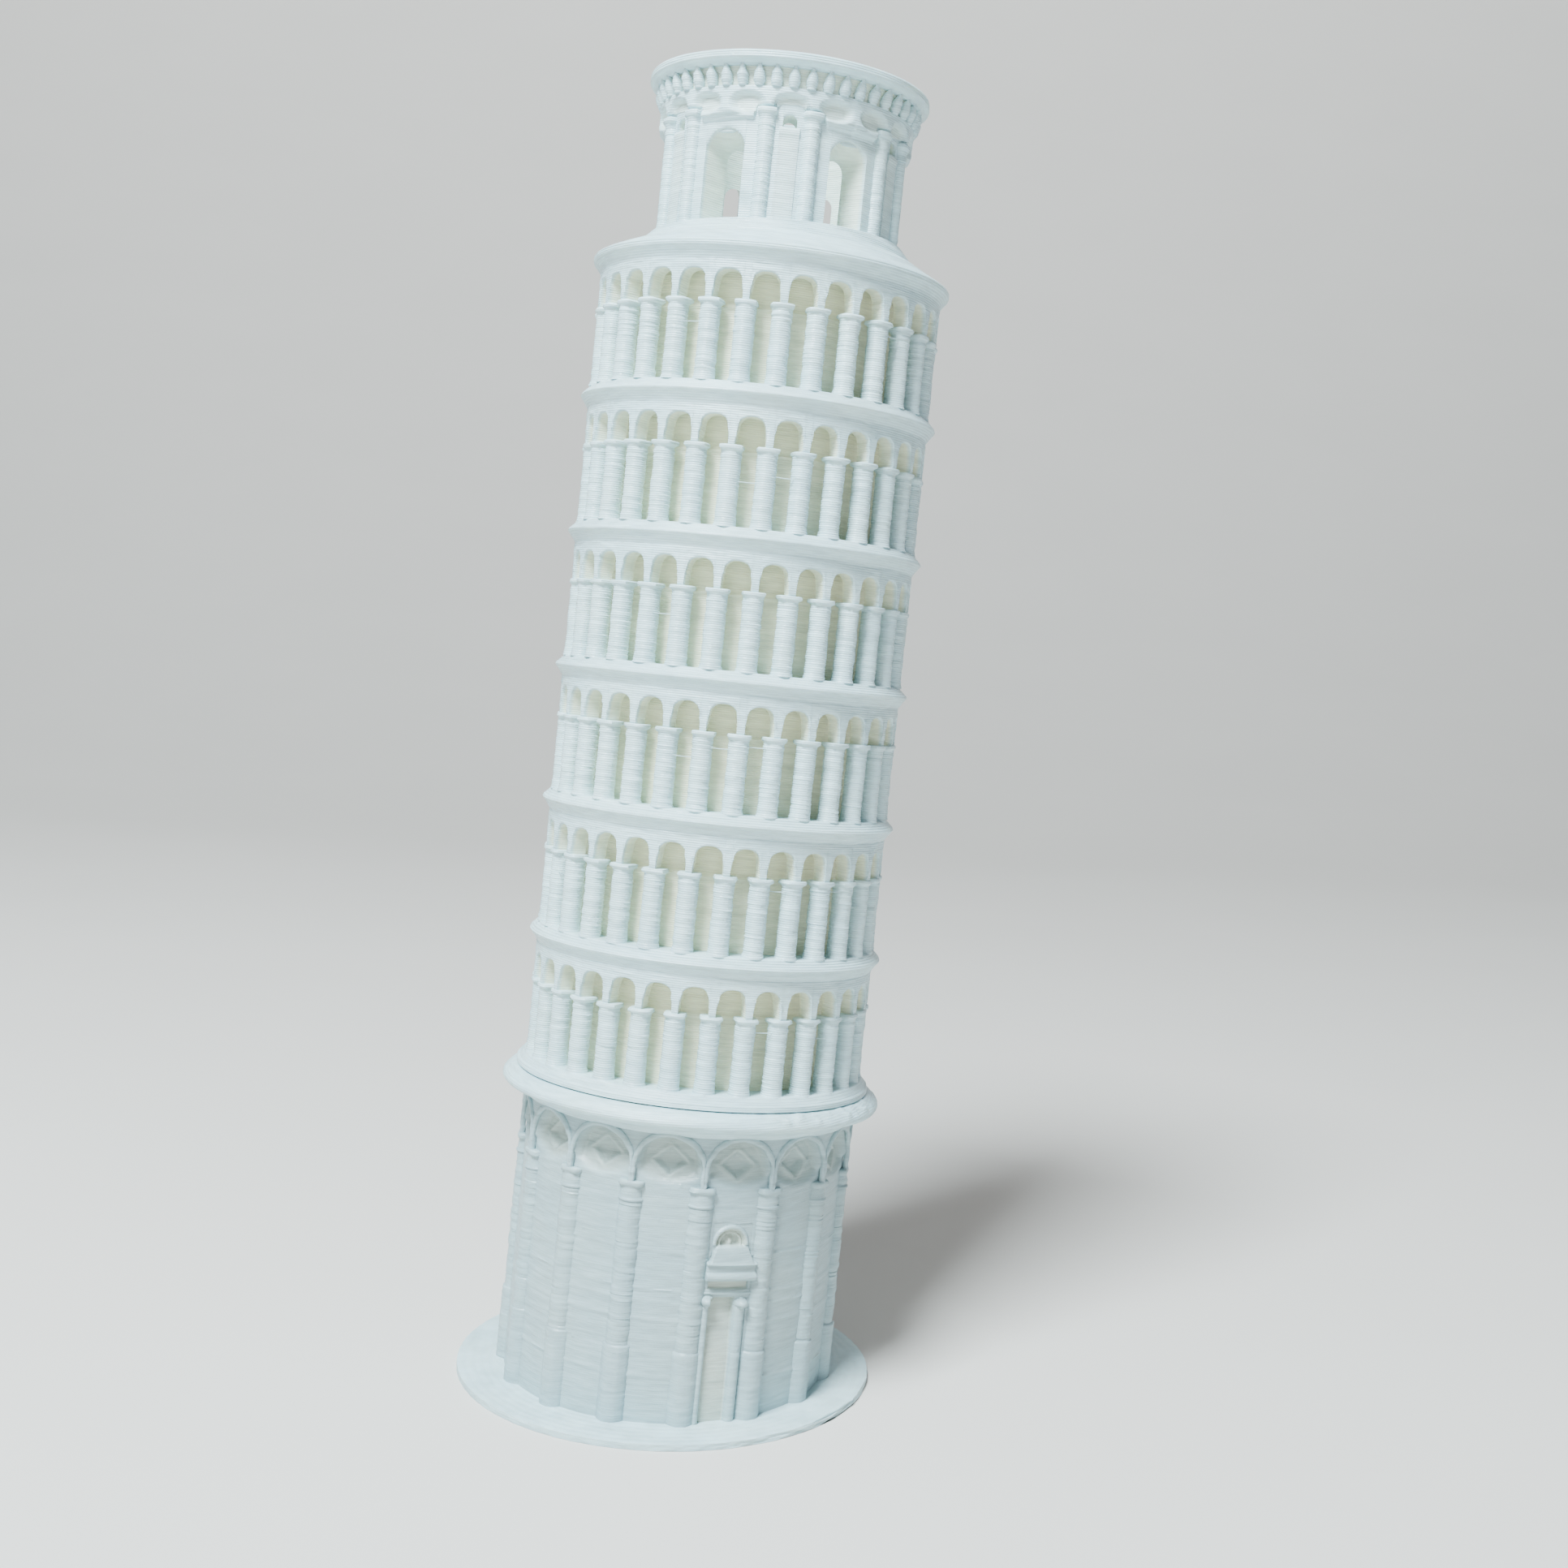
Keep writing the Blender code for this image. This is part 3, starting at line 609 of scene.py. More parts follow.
@dataclass(frozen=True)
class Arch:
    """Edge of one arched opening between two piers, from the middle of one pier to the middle of the next."""

    foot: float  # level of the piers' feet
    spring: float
    rise: float
    pier: float  # half a pier's width at its foot, as a heading
    spread: float  # the same where the arch springs
    power: float = 2.2  # 2 is an ellipse, more is squarer
    legs: int = 5
    parts: int = 14

    def edge(self, bay: float) -> tuple[Array, Array]:
        """Headings and levels along the edge.

        Up the side of the pier, over the arch, down the next pier. The arch is a superellipse: at the angle a
        it stands |cos a|^(2/p) of its half-width to the side, and |sin a|^(2/p) of its rise up.

        Args:
            bay: heading from one pier's middle to the next.

        Returns:
            Headings from the first pier's middle, and levels.
        """
        climb = np.linspace(0.0, 1.0, self.legs)
        side = self.pier + (self.spread - self.pier) * climb ** 2
        angle = np.linspace(math.pi, 0.0, self.parts + 1)[1:-1]
        half = bay / 2.0 - self.spread
        over = bay / 2.0 + half * np.sign(np.cos(angle)) * np.abs(np.cos(angle)) ** (2.0 / self.power)
        rise = self.spring + self.rise * np.sin(angle) ** (2.0 / self.power)
        leg = self.foot + (self.spring - self.foot) * climb
        heading = np.concatenate([[0.0], side, over, bay - side[::-1]])
        return heading, np.concatenate([[self.foot], leg, rise, leg[::-1]])


@dataclass(frozen=True)
class ArchRing:
    """A ring pierced by arches, whose outer and inner edges may differ, so that the openings can splay."""

    front: float
    back: float
    top: float
    soften: float = 0.12
    seed: float = 1.0
    roughness: float = 0.03
    reveal: int = 3

    def loops(self, tower: Tower, bays: Array, starts: Array, outer: list[Arch], inner: list[Arch]) -> Array:
        """Sections of the ring, one for each point of the arches' edges.

        Each section climbs the front from the outer edge to the top and comes down the back to the inner
        edge. The underside runs straight between the two edges.

        Args:
            tower: places the points.
            bays: heading of each bay, from one pier's middle to the next.
            starts: heading of the pier that each bay starts at.
            outer: edge of each bay on the front.
            inner: edge of each bay on the back.

        Returns:
            Points in metres, for sections and points around each.
        """
        edges = [(one.edge(bay), other.edge(bay), start)
                 for one, other, bay, start in zip(outer, inner, bays, starts)]
        front_heading = np.concatenate([start + edge[0] for edge, _, start in edges])[:, None]
        front_level = np.concatenate([edge[1] for edge, _, _ in edges])[:, None]
        front_heading = front_heading + strata(self.front, front_heading, front_level, self.seed + 5.0,
                                               1.3 * self.roughness) / self.front
        back_heading = np.concatenate([start + edge[0] for _, edge, start in edges])[:, None]
        back_level = np.concatenate([edge[1] for _, edge, _ in edges])[:, None]
        climb = np.concatenate([[0.0, 0.04], np.linspace(0.1, 1.0, FRONT_ROWS - 2)])[None, :]
        set_back = np.concatenate([[1.0, 0.35], np.zeros(FRONT_ROWS - 2)])[None, :]
        up = front_level + (self.top - front_level) * climb
        rough = strata(self.front, front_heading, up, self.seed, self.roughness)
        down = self.top + (back_level - self.top) * np.linspace(0.0, 1.0, BACK_ROWS)[None, :]
        under = np.linspace(1.0, 0.0, self.reveal + 2)[None, 1:-1]
        lip = self.front - self.soften
        radii = [self.front - self.soften * set_back + rough, self.back + 0.0 * down,
                 lip + (self.back - lip) * under + 0.0 * front_level]
        headings = [front_heading + 0.0 * up, back_heading + 0.0 * down,
                    front_heading + (back_heading - front_heading) * under]
        levels = [up, down, front_level + (back_level - front_level) * under]
        return tower.place(*(np.concatenate(part, axis=1) for part in (radii, headings, levels)))

    def shade(self, under: float, back: float) -> Array:
        """Shade of a section's points: none on the front, then the back's, and the underside's last."""
        return np.repeat([0.0, back, under], [FRONT_ROWS, BACK_ROWS, self.reveal])[None, :]


def turned(tower: Tower, outline: Array, sides: int, seed: float, roughness: float = 0.02) -> Array:
    """Sections of a ring: one closed outline of (radius, level) points, set at each heading.

    Printed unevenness is added to every radius.

    Args:
        tower: places the points.
        outline: closed outline, corners with a last axis of 2.
        sides: number of sections.
        seed: picks the unevenness.
        roughness: its depth.

    Returns:
        Points in metres, for sections and points around each.
    """
    heading = np.linspace(0.0, FULL_TURN, sides, endpoint=False)[:, None]
    radius, level = outline[None, :, 0], outline[None, :, 1]
    rough = strata(radius.max(), heading, level, seed, roughness)
    return tower.place(radius + rough, heading, level + 0.0 * heading)


def layered(start: tuple[float, float], end: tuple[float, float], bead: float = 0.035) -> Array:
    """A sloping outline printed in layers: it goes from start to end in steps, each with a rounded edge.

    Args:
        start: radius and level.
        end: radius and level.
        bead: how far each layer's edge bulges.

    Returns:
        Outline points, three to a layer.
    """
    layers = max(1, round(abs(end[1] - start[1]) / LAYER))
    share = np.linspace(0.0, 1.0, layers * 3 + 1)
    phase = share * layers % 1.0
    radius = start[0] + (end[0] - start[0]) * share
    level = start[1] + (end[1] - start[1]) * share
    step = (end[0] - start[0]) / layers
    return np.stack([radius + bead * mound(phase, 0.5, 0.5) - 0.35 * step * (phase - 0.5), level], axis=-1)


@dataclass(frozen=True)
class Gallery:
    """One open storey: wall, colonnade with arches, and the cornice over it."""

    number: int
    columns: int = 30
    first: float = math.radians(5.0)
    column: Column = Column(15.25, 0.93, 0.95, 1.06, slab=0.38, flare=0.16, neck=0.03)
    wall: float = 13.6
    wall_depth: float = 1.6
    abacus_below_rim: float = 4.6
    spring_below_rim: float = 3.15
    rise: float = 1.12
    soffit: float = 1.15
    gap: float = 0.3
    pier: float = 0.29
    pier_spread: float = 0.45
    front: float = 16.15
    back: float = 14.5
    ledge: float = 0.2
    hairs: int = 5
    hair_half: float = 0.035  # half a hair's thickness

    def rim(self, tower: Tower) -> float:
        """Level of the widest line of the cornice over this gallery."""
        return tower.span(f"gallery_{self.number}_colonnade").high + self.soffit + self.gap

    def build_wall(self, tower: Tower, material: bpy.types.Material) -> bpy.types.Object:
        """The inner wall: a turned ring with a thin ledge at the capitals, and painted shade (a cream glow)
        over it that is strongest above the ledge.

        Args:
            tower: gives the extents and places the points.
            material: the piece's finish.

        Returns:
            The finished piece.
        """
        node = f"gallery_{self.number}_core"
        span, rim = tower.span(node), self.rim(tower)
        level = np.arange(span.low - BURY, span.high + BURY, LAYER)
        ledge = rim - self.abacus_below_rim - 0.35
        radius = self.wall - 0.06 + self.ledge * mound(level, ledge, 0.18)
        radius = radius + 0.04 * ease(level, ledge, ledge - 0.2)
        outline = np.stack([radius, level], axis=-1)
        shaft = np.array([[self.wall - self.wall_depth, level[-1]], [self.wall - self.wall_depth, level[0]]])
        loops = turned(tower, np.concatenate([outline, shaft]), 150, 11.0 * self.number, 0.025)
        # Painted shade: 0.8 on the whole wall, rising to 1 above the ledge.
        shade = 0.8 + 0.2 * ease(np.append(level, [level[-1], level[0]]), ledge, ledge + 1.5)
        wall = Surface(f"gallery_{self.number}_wall")
        wall.ring(loops, shade[None, :])
        return wall.build(material, node)

    def build_colonnade(self, tower: Tower, material: bpy.types.Material) -> bpy.types.Object:
        """Columns and the ring of arches that they carry, with a few hairs of plastic strung between them.

        Args:
            tower: gives the extents and places the points.
            material: the piece's finish.

        Returns:
            The finished piece.
        """
        node = f"gallery_{self.number}_colonnade"
        span, rim = tower.span(node), self.rim(tower)
        bay = FULL_TURN / self.columns
        starts = self.first + bay * np.arange(self.columns)
        abacus = rim - self.abacus_below_rim
        ranks = Surface(node)
        ranks.rods(self.column.rows(tower, starts, np.array([[span.low - BURY]]), abacus, 5.0 * self.number))
        arch = Arch(abacus - 0.1, rim - self.spring_below_rim, self.rise, self.pier / self.front,
                    self.pier_spread / self.front, power=2.3, legs=9)
        ring = ArchRing(self.front, self.back, span.high + BURY, seed=7.0 * self.number, roughness=0.06)
        arches = [arch] * self.columns
        loops = ring.loops(tower, np.full(self.columns, bay), starts, arches, arches)
        ranks.ring(loops, ring.shade(0.6, 0.8))
        ranks.rods(self.strings(tower, starts, abacus))
        return ranks.build(material, node)

    def strings(self, tower: Tower, starts: Array, abacus: float) -> Array:
        """Hairs: thin four-sided threads from one capital to the next, each sagging as a parabola.

        Args:
            tower: places the points.
            starts: headings of the columns.
            abacus: level of the tops of the capitals.

        Returns:
            Points in metres, for hairs, rows and points around.
        """
        pick = np.floor(scatter(np.arange(self.hairs), 3.0 + self.number) * self.columns).astype(int)
        share = np.linspace(0.0, 1.0, 9)[None, :, None]
        corner = np.linspace(0.0, FULL_TURN, 4, endpoint=False)[None, None, :]
        drop = (0.3 + 2.8 * scatter(pick, 8.0 + self.number))[:, None, None]
        heading = starts[pick][:, None, None] + FULL_TURN / self.columns * share
        level = abacus - drop - 0.5 * share * (1.0 - share) + self.hair_half * np.cos(corner)
        return tower.place(self.column.centre + 0.45 + self.hair_half * np.sin(corner), heading, level)

    def build_cornice(self, tower: Tower, material: bpy.types.Material) -> bpy.types.Object:
        """The sharp ring over the gallery: a layered slope on top, a keen rim and a hollow soffit.

        Args:
            tower: gives the extents and places the points.
            material: the piece's finish.

        Returns:
            The finished piece.
        """
        node = f"gallery_{self.number}_cornice"
        span = tower.span(node)
        rim, tip, slope = self.rim(tower), span.outer - 0.03, span.high
        inner = self.back - 1.4
        outline = np.concatenate([
            [[inner, span.low - BURY], [self.front - 0.1, span.low - BURY]],
            [[self.front - 0.02, span.low + 0.05], [self.front + 0.18, rim - 0.78]],
            [[tip - 0.22, rim - 0.3], [tip - 0.05, rim - 0.1], [tip, rim]],
            layered((tip - 0.02, rim + 0.08), (self.front - 0.12, slope)),
            [[self.front - 0.5, slope + 0.02], [inner, slope + 0.02]],
        ])
        ring = Surface(node)
        ring.ring(turned(tower, outline, 300, 13.0 * self.number, 0.022))
        return ring.build(material, node)


@dataclass(frozen=True)
class GroundStorey:
    """The tall plain storey: wall with blind arches, half-columns, and the cornice that closes it."""

    bays: int = 15
    first: float = math.radians(8.0)
    panel: float = 15.42
    spandrel: float = 15.75
    core: float = 12.5
    column: Column = Column(14.9, 1.2, 1.7, 1.22, slab=0.52, flare=0.1, around=20)
    socle: float = 6.5
    socle_width: float = 0.24
    capital_level: float = 21.7
    astragal_below: float = 1.72  # middle of the neck ring under the capital's top
    spring: float = 23.3
    rise: float = 3.0
    arch_power: float = 2.3  # 2 is an ellipse, more is squarer
    lunette: float = 0.9
    coffer: float = 0.4
    lozenge: tuple[float, float] = (1.8, 1.4)  # half-width and half-height
    lozenge_above: float = 0.4  # its middle over the spring
    roll: float = 0.28
    roll_front: float = 15.98
    bands: tuple[float, ...] = (4.1, 9.3, 11.0, 12.1, 15.6)
    band_proud: float = 0.09
    band_reach: float = 0.16
    slits: tuple[float, ...] = (math.radians(84.0), math.radians(-73.0))
    slit_level: float = 22.6
    slit_depth: float = 1.5
    crumbed: float = 0.85  # heading about which the seam bears the most crumbs
    buried: float = 0.42  # height over the table at which the walls end, inside the plinth
    plain: float = 19.6  # height up to which rows follow the printed layers

    @property
    def bay(self) -> float:
        """Heading from one half-column to the next."""
        return FULL_TURN / self.bays

    def relief(self, heading: Array, level: Array) -> tuple[Array, Array]:
        """Radius of the wall and how deep in shade it lies.

        A flat panel up to the capitals, and a spandrel that stands proud above them. Each bay has a lunette:
        inside the arch's superellipse the wall is hollowed, most at the crown, and rises along a curve to the
        panel at the capitals. In the lunette a lozenge, where |x| / a + |z| / b is under 1, is sunk deeper
        behind a low ridge.

        Args:
            heading: headings of the points.
            level: levels of the points.

        Returns:
            Radii and shade, both in the shape of the points.
        """
        turn = (heading - self.first) % self.bay - self.bay / 2.0
        across = turn * self.panel
        flat = self.panel * (1.0 - 0.35 * (1.0 - np.cos(turn))) / np.cos(turn) ** 0.5
        half = self.bay * self.panel / 2.0 - 0.25
        sill = self.capital_level - 0.15 + 0.9 * (across / half) ** 2
        above = np.clip(level - self.spring, 0.0, None) / self.rise
        power = self.arch_power
        inside = 1.0 - ((np.abs(across) / half) ** power + above ** power) ** (1.0 / power)
        opened = ease(inside, 0.0, 0.16) * ease(level, sill, sill + 0.8)
        deep = self.lunette * (0.4 + 0.6 * ease(level, sill, self.spring + 0.9))
        wide, tall = self.lozenge
        lozenge = 1.0 - np.abs(across) / wide - np.abs(level - self.spring - self.lozenge_above) / tall
        sunk = self.coffer * ease(lozenge, 0.0, 0.42) - 0.12 * mound(lozenge, -0.02, 0.24)
        proud = (self.spandrel - self.panel) * ease(level, self.spring - 0.6, self.spring)
        radius = flat + proud * (1.0 - opened) - opened * (deep + sunk)
        for band in self.bands:
            radius = radius + self.band_proud * mound(level, band, self.band_reach)
        for slit in self.slits:
            aside = np.abs((heading - slit + math.pi) % FULL_TURN - math.pi) * self.panel
            within = ease(aside, 0.32, 0.2) * ease(np.abs(level - self.slit_level), 0.95, 0.8)
            radius = radius - self.slit_depth * within
        shade = 0.2 * opened
        return radius, shade

    def build_wall(self, tower: Tower, portal: "Portal", material: bpy.types.Material) -> bpy.types.Object:
        """The drum: the relief on a grid of headings and levels, cut back behind the portal.

        Args:
            tower: gives the extents and places the points.
            portal: the doorway, behind which the wall is cut back.
            material: the piece's finish.

        Returns:
            The finished piece.
        """
        span = tower.span("ground_wall")
        heading = np.linspace(0.0, FULL_TURN, self.bays * 30, endpoint=False)[:, None] + self.first
        layers = LAYER * np.arange(math.ceil(self.buried / LAYER), self.plain / LAYER)
        plain = tower.level_at(self.panel, heading, np.append(self.buried, layers)[None, :])
        carved = np.linspace(self.capital_level - 0.7, span.high + BURY, 46)[None, :] + 0.0 * heading
        last, first = plain[:, -1:], carved[:, :1]
        between = last + (first - last) * np.linspace(0.0, 1.0, 12)[None, 1:-1]
        level = np.concatenate([plain, between, carved], axis=1)
        radius, shade = self.relief(heading + 0.0 * level, level)
        height = tower.height_at(self.panel, heading, level)
        radius = radius + strata(0.5 * self.panel, heading, height, 2.0, 0.04) - portal.pocket(heading, level)
        inner = np.full_like(heading, self.core)
        radius = np.concatenate([radius, inner, inner], axis=1)
        level = np.concatenate([level, level[:, -1:], level[:, :1]], axis=1)
        wall = Surface("ground_wall_drum")
        shade = np.concatenate([shade, 0.0 * inner, 0.0 * inner], axis=1)
        wall.ring(tower.place(radius, heading, level), shade)
        return wall.build(material, "ground_wall")

    def build_arcade(self, tower: Tower, material: bpy.types.Material) -> bpy.types.Object:
        """Half-columns on stouter socles, and a rounded moulding over each bay.

        Args:
            tower: gives the extents and places the points.
            material: the piece's finish.

        Returns:
            The finished piece.
        """
        starts = self.first + self.bay * np.arange(self.bays)
        around = self.column.around
        angle = np.linspace(0.0, FULL_TURN, around, endpoint=False)
        foot_heading = starts[:, None] + self.column.shaft * np.sin(angle) / self.column.centre
        foot_radius = self.column.centre + self.column.shaft * np.cos(angle)
        foot = tower.level_at(foot_radius, foot_heading, self.buried)
        ranks = Surface("ground_half_columns")
        ranks.rods(self.column.rows(tower, starts, foot, self.capital_level, 41.0))
        ranks.rods(self.socles(tower, starts, foot))
        ranks.rods(self.astragals(tower, starts))
        ranks.rods(self.mouldings(tower, starts))
        return ranks.build(material, "ground_arcade")

    def socles(self, tower: Tower, starts: Array, foot: Array) -> Array:
        """Eight-sided sleeves round the feet of the half-columns, bevelled at the top.

        Args:
            tower: places the points.
            starts: headings of the half-columns.
            foot: level of the foot, for columns and points around.

        Returns:
            Points in metres, for sleeves, rows and points around.
        """
        share = np.linspace(0.0, 1.0, 30)[None, :, None]
        foot = foot[:, None, :]
        level = foot + (self.socle - foot) * share
        level = np.concatenate([level, level[:, -1:] + 0.1, level[:, -1:] + 0.3], axis=1)
        sleeve = self.column.shaft + self.socle_width
        width = np.concatenate([np.full(30, sleeve), [sleeve - 0.04, self.column.shaft - 0.1]])[None, :, None]
        angle = np.linspace(0.0, FULL_TURN, self.column.around, endpoint=False)[None, None, :]
        eighth = FULL_TURN / 8.0
        reach = math.cos(eighth / 2.0) / np.cos((angle + eighth / 2.0) % eighth - eighth / 2.0)
        swell = 1.0 + 0.02 * lumps(angle * 2.0 + starts[:, None, None] * 7.0, level / LAYER, 6.0)
        out = self.column.centre + width * reach * np.cos(angle) * swell
        across = width * reach * np.sin(angle) * swell
        return tower.place(np.hypot(out, across), starts[:, None, None] + np.arctan2(across, out), level)

    def astragals(self, tower: Tower, starts: Array) -> Array:
        """Thin rings round the necks: short rods whose half-width is a half-round of the level.

        Args:
            tower: places the points.
            starts: headings of the half-columns.

        Returns:
            Points in metres, for rings, rows and points around.
        """
        middle = self.capital_level - self.astragal_below
        level = middle + np.linspace(-0.17, 0.17, 7)[None, :, None]
        width = self.column.shaft - 0.05 + 0.17 * mound(level, middle, 0.18)
        angle = np.linspace(0.0, FULL_TURN, self.column.around, endpoint=False)[None, None, :]
        out, across = self.column.centre + width * np.cos(angle), width * np.sin(angle)
        return tower.place(np.hypot(out, across), starts[:, None, None] + np.arctan2(across, out), level)

    def mouldings(self, tower: Tower, starts: Array) -> Array:
        """A rounded moulding over each bay: an oval carried up one pier, over the arch and down the next.

        The path lies on the unrolled wall. At each point the oval stands square to it, half its width along
        the path's normal and the other half outwards.

        Args:
            tower: places the points.
            starts: headings of the piers.

        Returns:
            Points in metres, for mouldings, rows and points around.
        """
        reach = self.bay * self.roll_front / 2.0 - 0.1
        leg = np.linspace(self.capital_level - 0.25, self.spring, 9)[:-1]
        angle = np.linspace(math.pi, 0.0, 31)
        across = np.concatenate([np.full(8, -reach), reach * np.cos(angle), np.full(8, reach)])
        level = np.concatenate([leg, self.spring + self.rise * np.sin(angle), leg[::-1]])
        along = np.stack([np.gradient(across), np.gradient(level)])
        along = along / np.hypot(*along)
        turn = np.linspace(0.0, FULL_TURN, 12, endpoint=False)[None, :]
        slim = self.roll * (0.8 + 0.2 * ease(level, self.spring, self.spring + 1.5))[:, None]
        wobble = 1.0 + 0.3 * lumps(across[:, None] * 1.3 + turn, level[:, None] / LAYER / 1.5, 21.0)
        side, out = slim * np.cos(turn) * wobble, self.roll * 0.9 * np.sin(turn) * wobble
        place_across = across[:, None] - along[1][:, None] * side
        place_level = level[:, None] + along[0][:, None] * side
        middle = (starts + self.bay / 2.0)[:, None, None]
        radius = self.roll_front - 0.2 + out
        return tower.place(radius[None], middle + place_across[None] / self.roll_front, place_level[None])

    def build_cornice(self, tower: Tower, material: bpy.types.Material) -> bpy.types.Object:
        """The broad ring: a step, a hollow soffit, a rounded rim, and lumps on its shoulder from support.

        Args:
            tower: gives the extents and places the points.
            material: the piece's finish.

        Returns:
            The finished piece.
        """
        span = tower.span("ground_cornice")
        tip, low, high = span.outer - 0.04, span.low, span.high
        middle = low + 1.1
        outline = np.array([
            [self.core, low - BURY], [15.9, low - BURY], [16.05, low - 0.1], [16.3, low + 0.05],
            [16.5, low + 0.32], [17.0, low + 0.42], [17.55, low + 0.6], [tip - 0.2, low + 0.78],
            [tip - 0.05, middle - 0.12], [tip, middle + 0.05], [tip - 0.03, middle + 0.25],
            [tip - 0.16, middle + 0.45], [tip - 0.36, middle + 0.66], [tip - 0.62, middle + 0.86],
            [tip - 0.95, high], [tip - 1.3, high + 0.05], [self.core, high + 0.05],
        ])
        heading = np.linspace(0.0, FULL_TURN, 420, endpoint=False)[:, None]
        radius, level = outline[None, :, 0], outline[None, :, 1]
        shoulder = mound(level, middle + 0.75, 0.45) * (radius > 16.0)
        right = ease(np.abs(heading - self.crumbed), 0.75, 0.2)
        crumbs = np.clip(lumps(heading * 30.0, level * 3.0, 9.0) + 0.1, 0.0, None)
        crumbs = crumbs * shoulder * (0.05 + 0.3 * right)
        radius = radius + strata(tip, heading, level, 9.0, 0.02) * (radius > 15.0)
        points = tower.place(radius + 0.5 * crumbs, heading, level + crumbs)
        ring = Surface("ground_cornice_ring")
        ring.ring(points)
        return ring.build(material, "ground_cornice")


@dataclass(frozen=True)
class Portal:
    """The doorway in one bay: hood, niche, two ledges, lintel, capitals, jambs and a sunk door."""

    heading: float = math.radians(20.0)
    wall: float = 15.42
    half: float = 1.95
    reach: float = 2.5
    top: float = 18.6
    hood: float = 16.6  # level of the middle of its half-round
    hood_side: float = -0.15  # that middle's distance to the right
    figure: tuple[float, float] = (-0.2, 16.75)  # this and the pairs below: x and z of the middle
    upper_ledge: float = 14.88
    lower_ledge: float = 13.72
    fillet: float = 12.1
    left_capital: tuple[float, float] = (-1.85, 11.4)
    right_capital: tuple[float, float] = (1.4, 11.2)
    left_jamb: float = -1.98
    right_jamb: float = 1.3
    door: float = -0.48
    door_half: float = 1.24
    pocket_depth: float = 1.0
    buried: float = 0.42

    def pocket(self, heading: Array, level: Array) -> Array:
        """How far the drum's wall is cut back to make room for the portal's own surface.

        Args:
            heading: headings of the points.
            level: levels of the points.

        Returns:
            Depths, in the shape that the headings and levels make together.
        """
        across = (heading - self.heading + math.pi) % FULL_TURN - math.pi
        within = ease(np.abs(across) * self.wall, self.half - 0.05, self.half - 0.3)
        return self.pocket_depth * within * ease(level, self.top - 0.1, self.top - 0.4)

    def relief(self, x: Array, z: Array) -> tuple[Array, Array]:
        """How far the portal's surface stands in front of the wall, and how deep in shade it lies.

        Each feature is a smooth hump or hollow over its own stretch of x and z, and the largest of the raised
        ones counts where they meet.

        Args:
            x: distance to the right of the door's middle line.
            z: level.

        Returns:
            Relief and shade.
        """
        ring = np.hypot(x - self.hood_side, z - self.hood)
        over = ease(z, self.hood - 0.3, self.hood)
        niche = 0.28 * ease(ring, 1.45, 1.15) + 0.34 * ease(ring, 0.98, 0.8)
        hollow = over * (niche - 0.12 * mound(ring, 1.05, 0.12))
        figure = np.exp(-((x - self.figure[0]) / 0.34) ** 2 - ((z - self.figure[1]) / 0.45) ** 2)
        hollow = hollow - over * 0.5 * figure
        raised = over * 0.2 * mound(ring, 1.55, 0.2)
        low = np.clip(16.4 - z, 0.0, 1.6)
        block = ease(z, 14.8, 14.95) * ease(z, 16.5, 16.3)
        block = block * ease(np.abs(x - 0.05), 1.6 + 0.4 * low, 1.42 + 0.4 * low)
        raised = np.maximum(raised, block * (0.2 + 0.34 * low))
        width = ease(np.abs(x - 0.05), 2.42, 2.26)
        raised = np.maximum(raised, width * 0.78 * mound(z, self.upper_ledge, 0.2))
        raised = np.maximum(raised, width * 0.52 * ease(z, 13.6, 13.8) * ease(z, 14.95, 14.8))
        raised = np.maximum(raised, width * 0.92 * mound(z, self.lower_ledge, 0.5))
        raised = np.maximum(raised, 0.14 * ease(z, 11.5, 11.7) * ease(z, 12.6, 12.4))
        raised = np.maximum(raised, 0.3 * width * mound(z, self.fillet, 0.14))
        left = 1.0 - ((x - self.left_capital[0]) / 0.68) ** 2 - ((z - self.left_capital[1]) / 0.5) ** 2
        right = 1.0 - ((x - self.right_capital[0]) / 0.62) ** 2 - ((z - self.right_capital[1]) / 0.46) ** 2
        raised = np.maximum(raised, 0.95 * np.sqrt(np.clip(np.maximum(left, right), 0.0, 1.0)))
        jamb = ease(z, 11.3, 11.1) * (0.4 + 0.08 * ease(z, 6.6, 6.4))
        jambs = np.maximum(mound(x, self.right_jamb, 0.52), mound(x, self.left_jamb, 0.36))
        raised = np.maximum(raised, jamb * jambs)
        door = ease(np.abs(x - self.door), self.door_half, self.door_half - 0.14) * ease(z, 11.8, 11.55)
        under = ease(z, 12.4, 12.6) * ease(z, 13.4, 13.2) * width
        hollow = hollow + door * (0.15 + 0.42 * ease(z, 5.0, 11.0)) + 0.14 * under
        shade = 0.35 * np.clip(door + under + over * ease(ring, 1.6, 1.3), 0.0, 1.0)
        return raised - hollow, shade

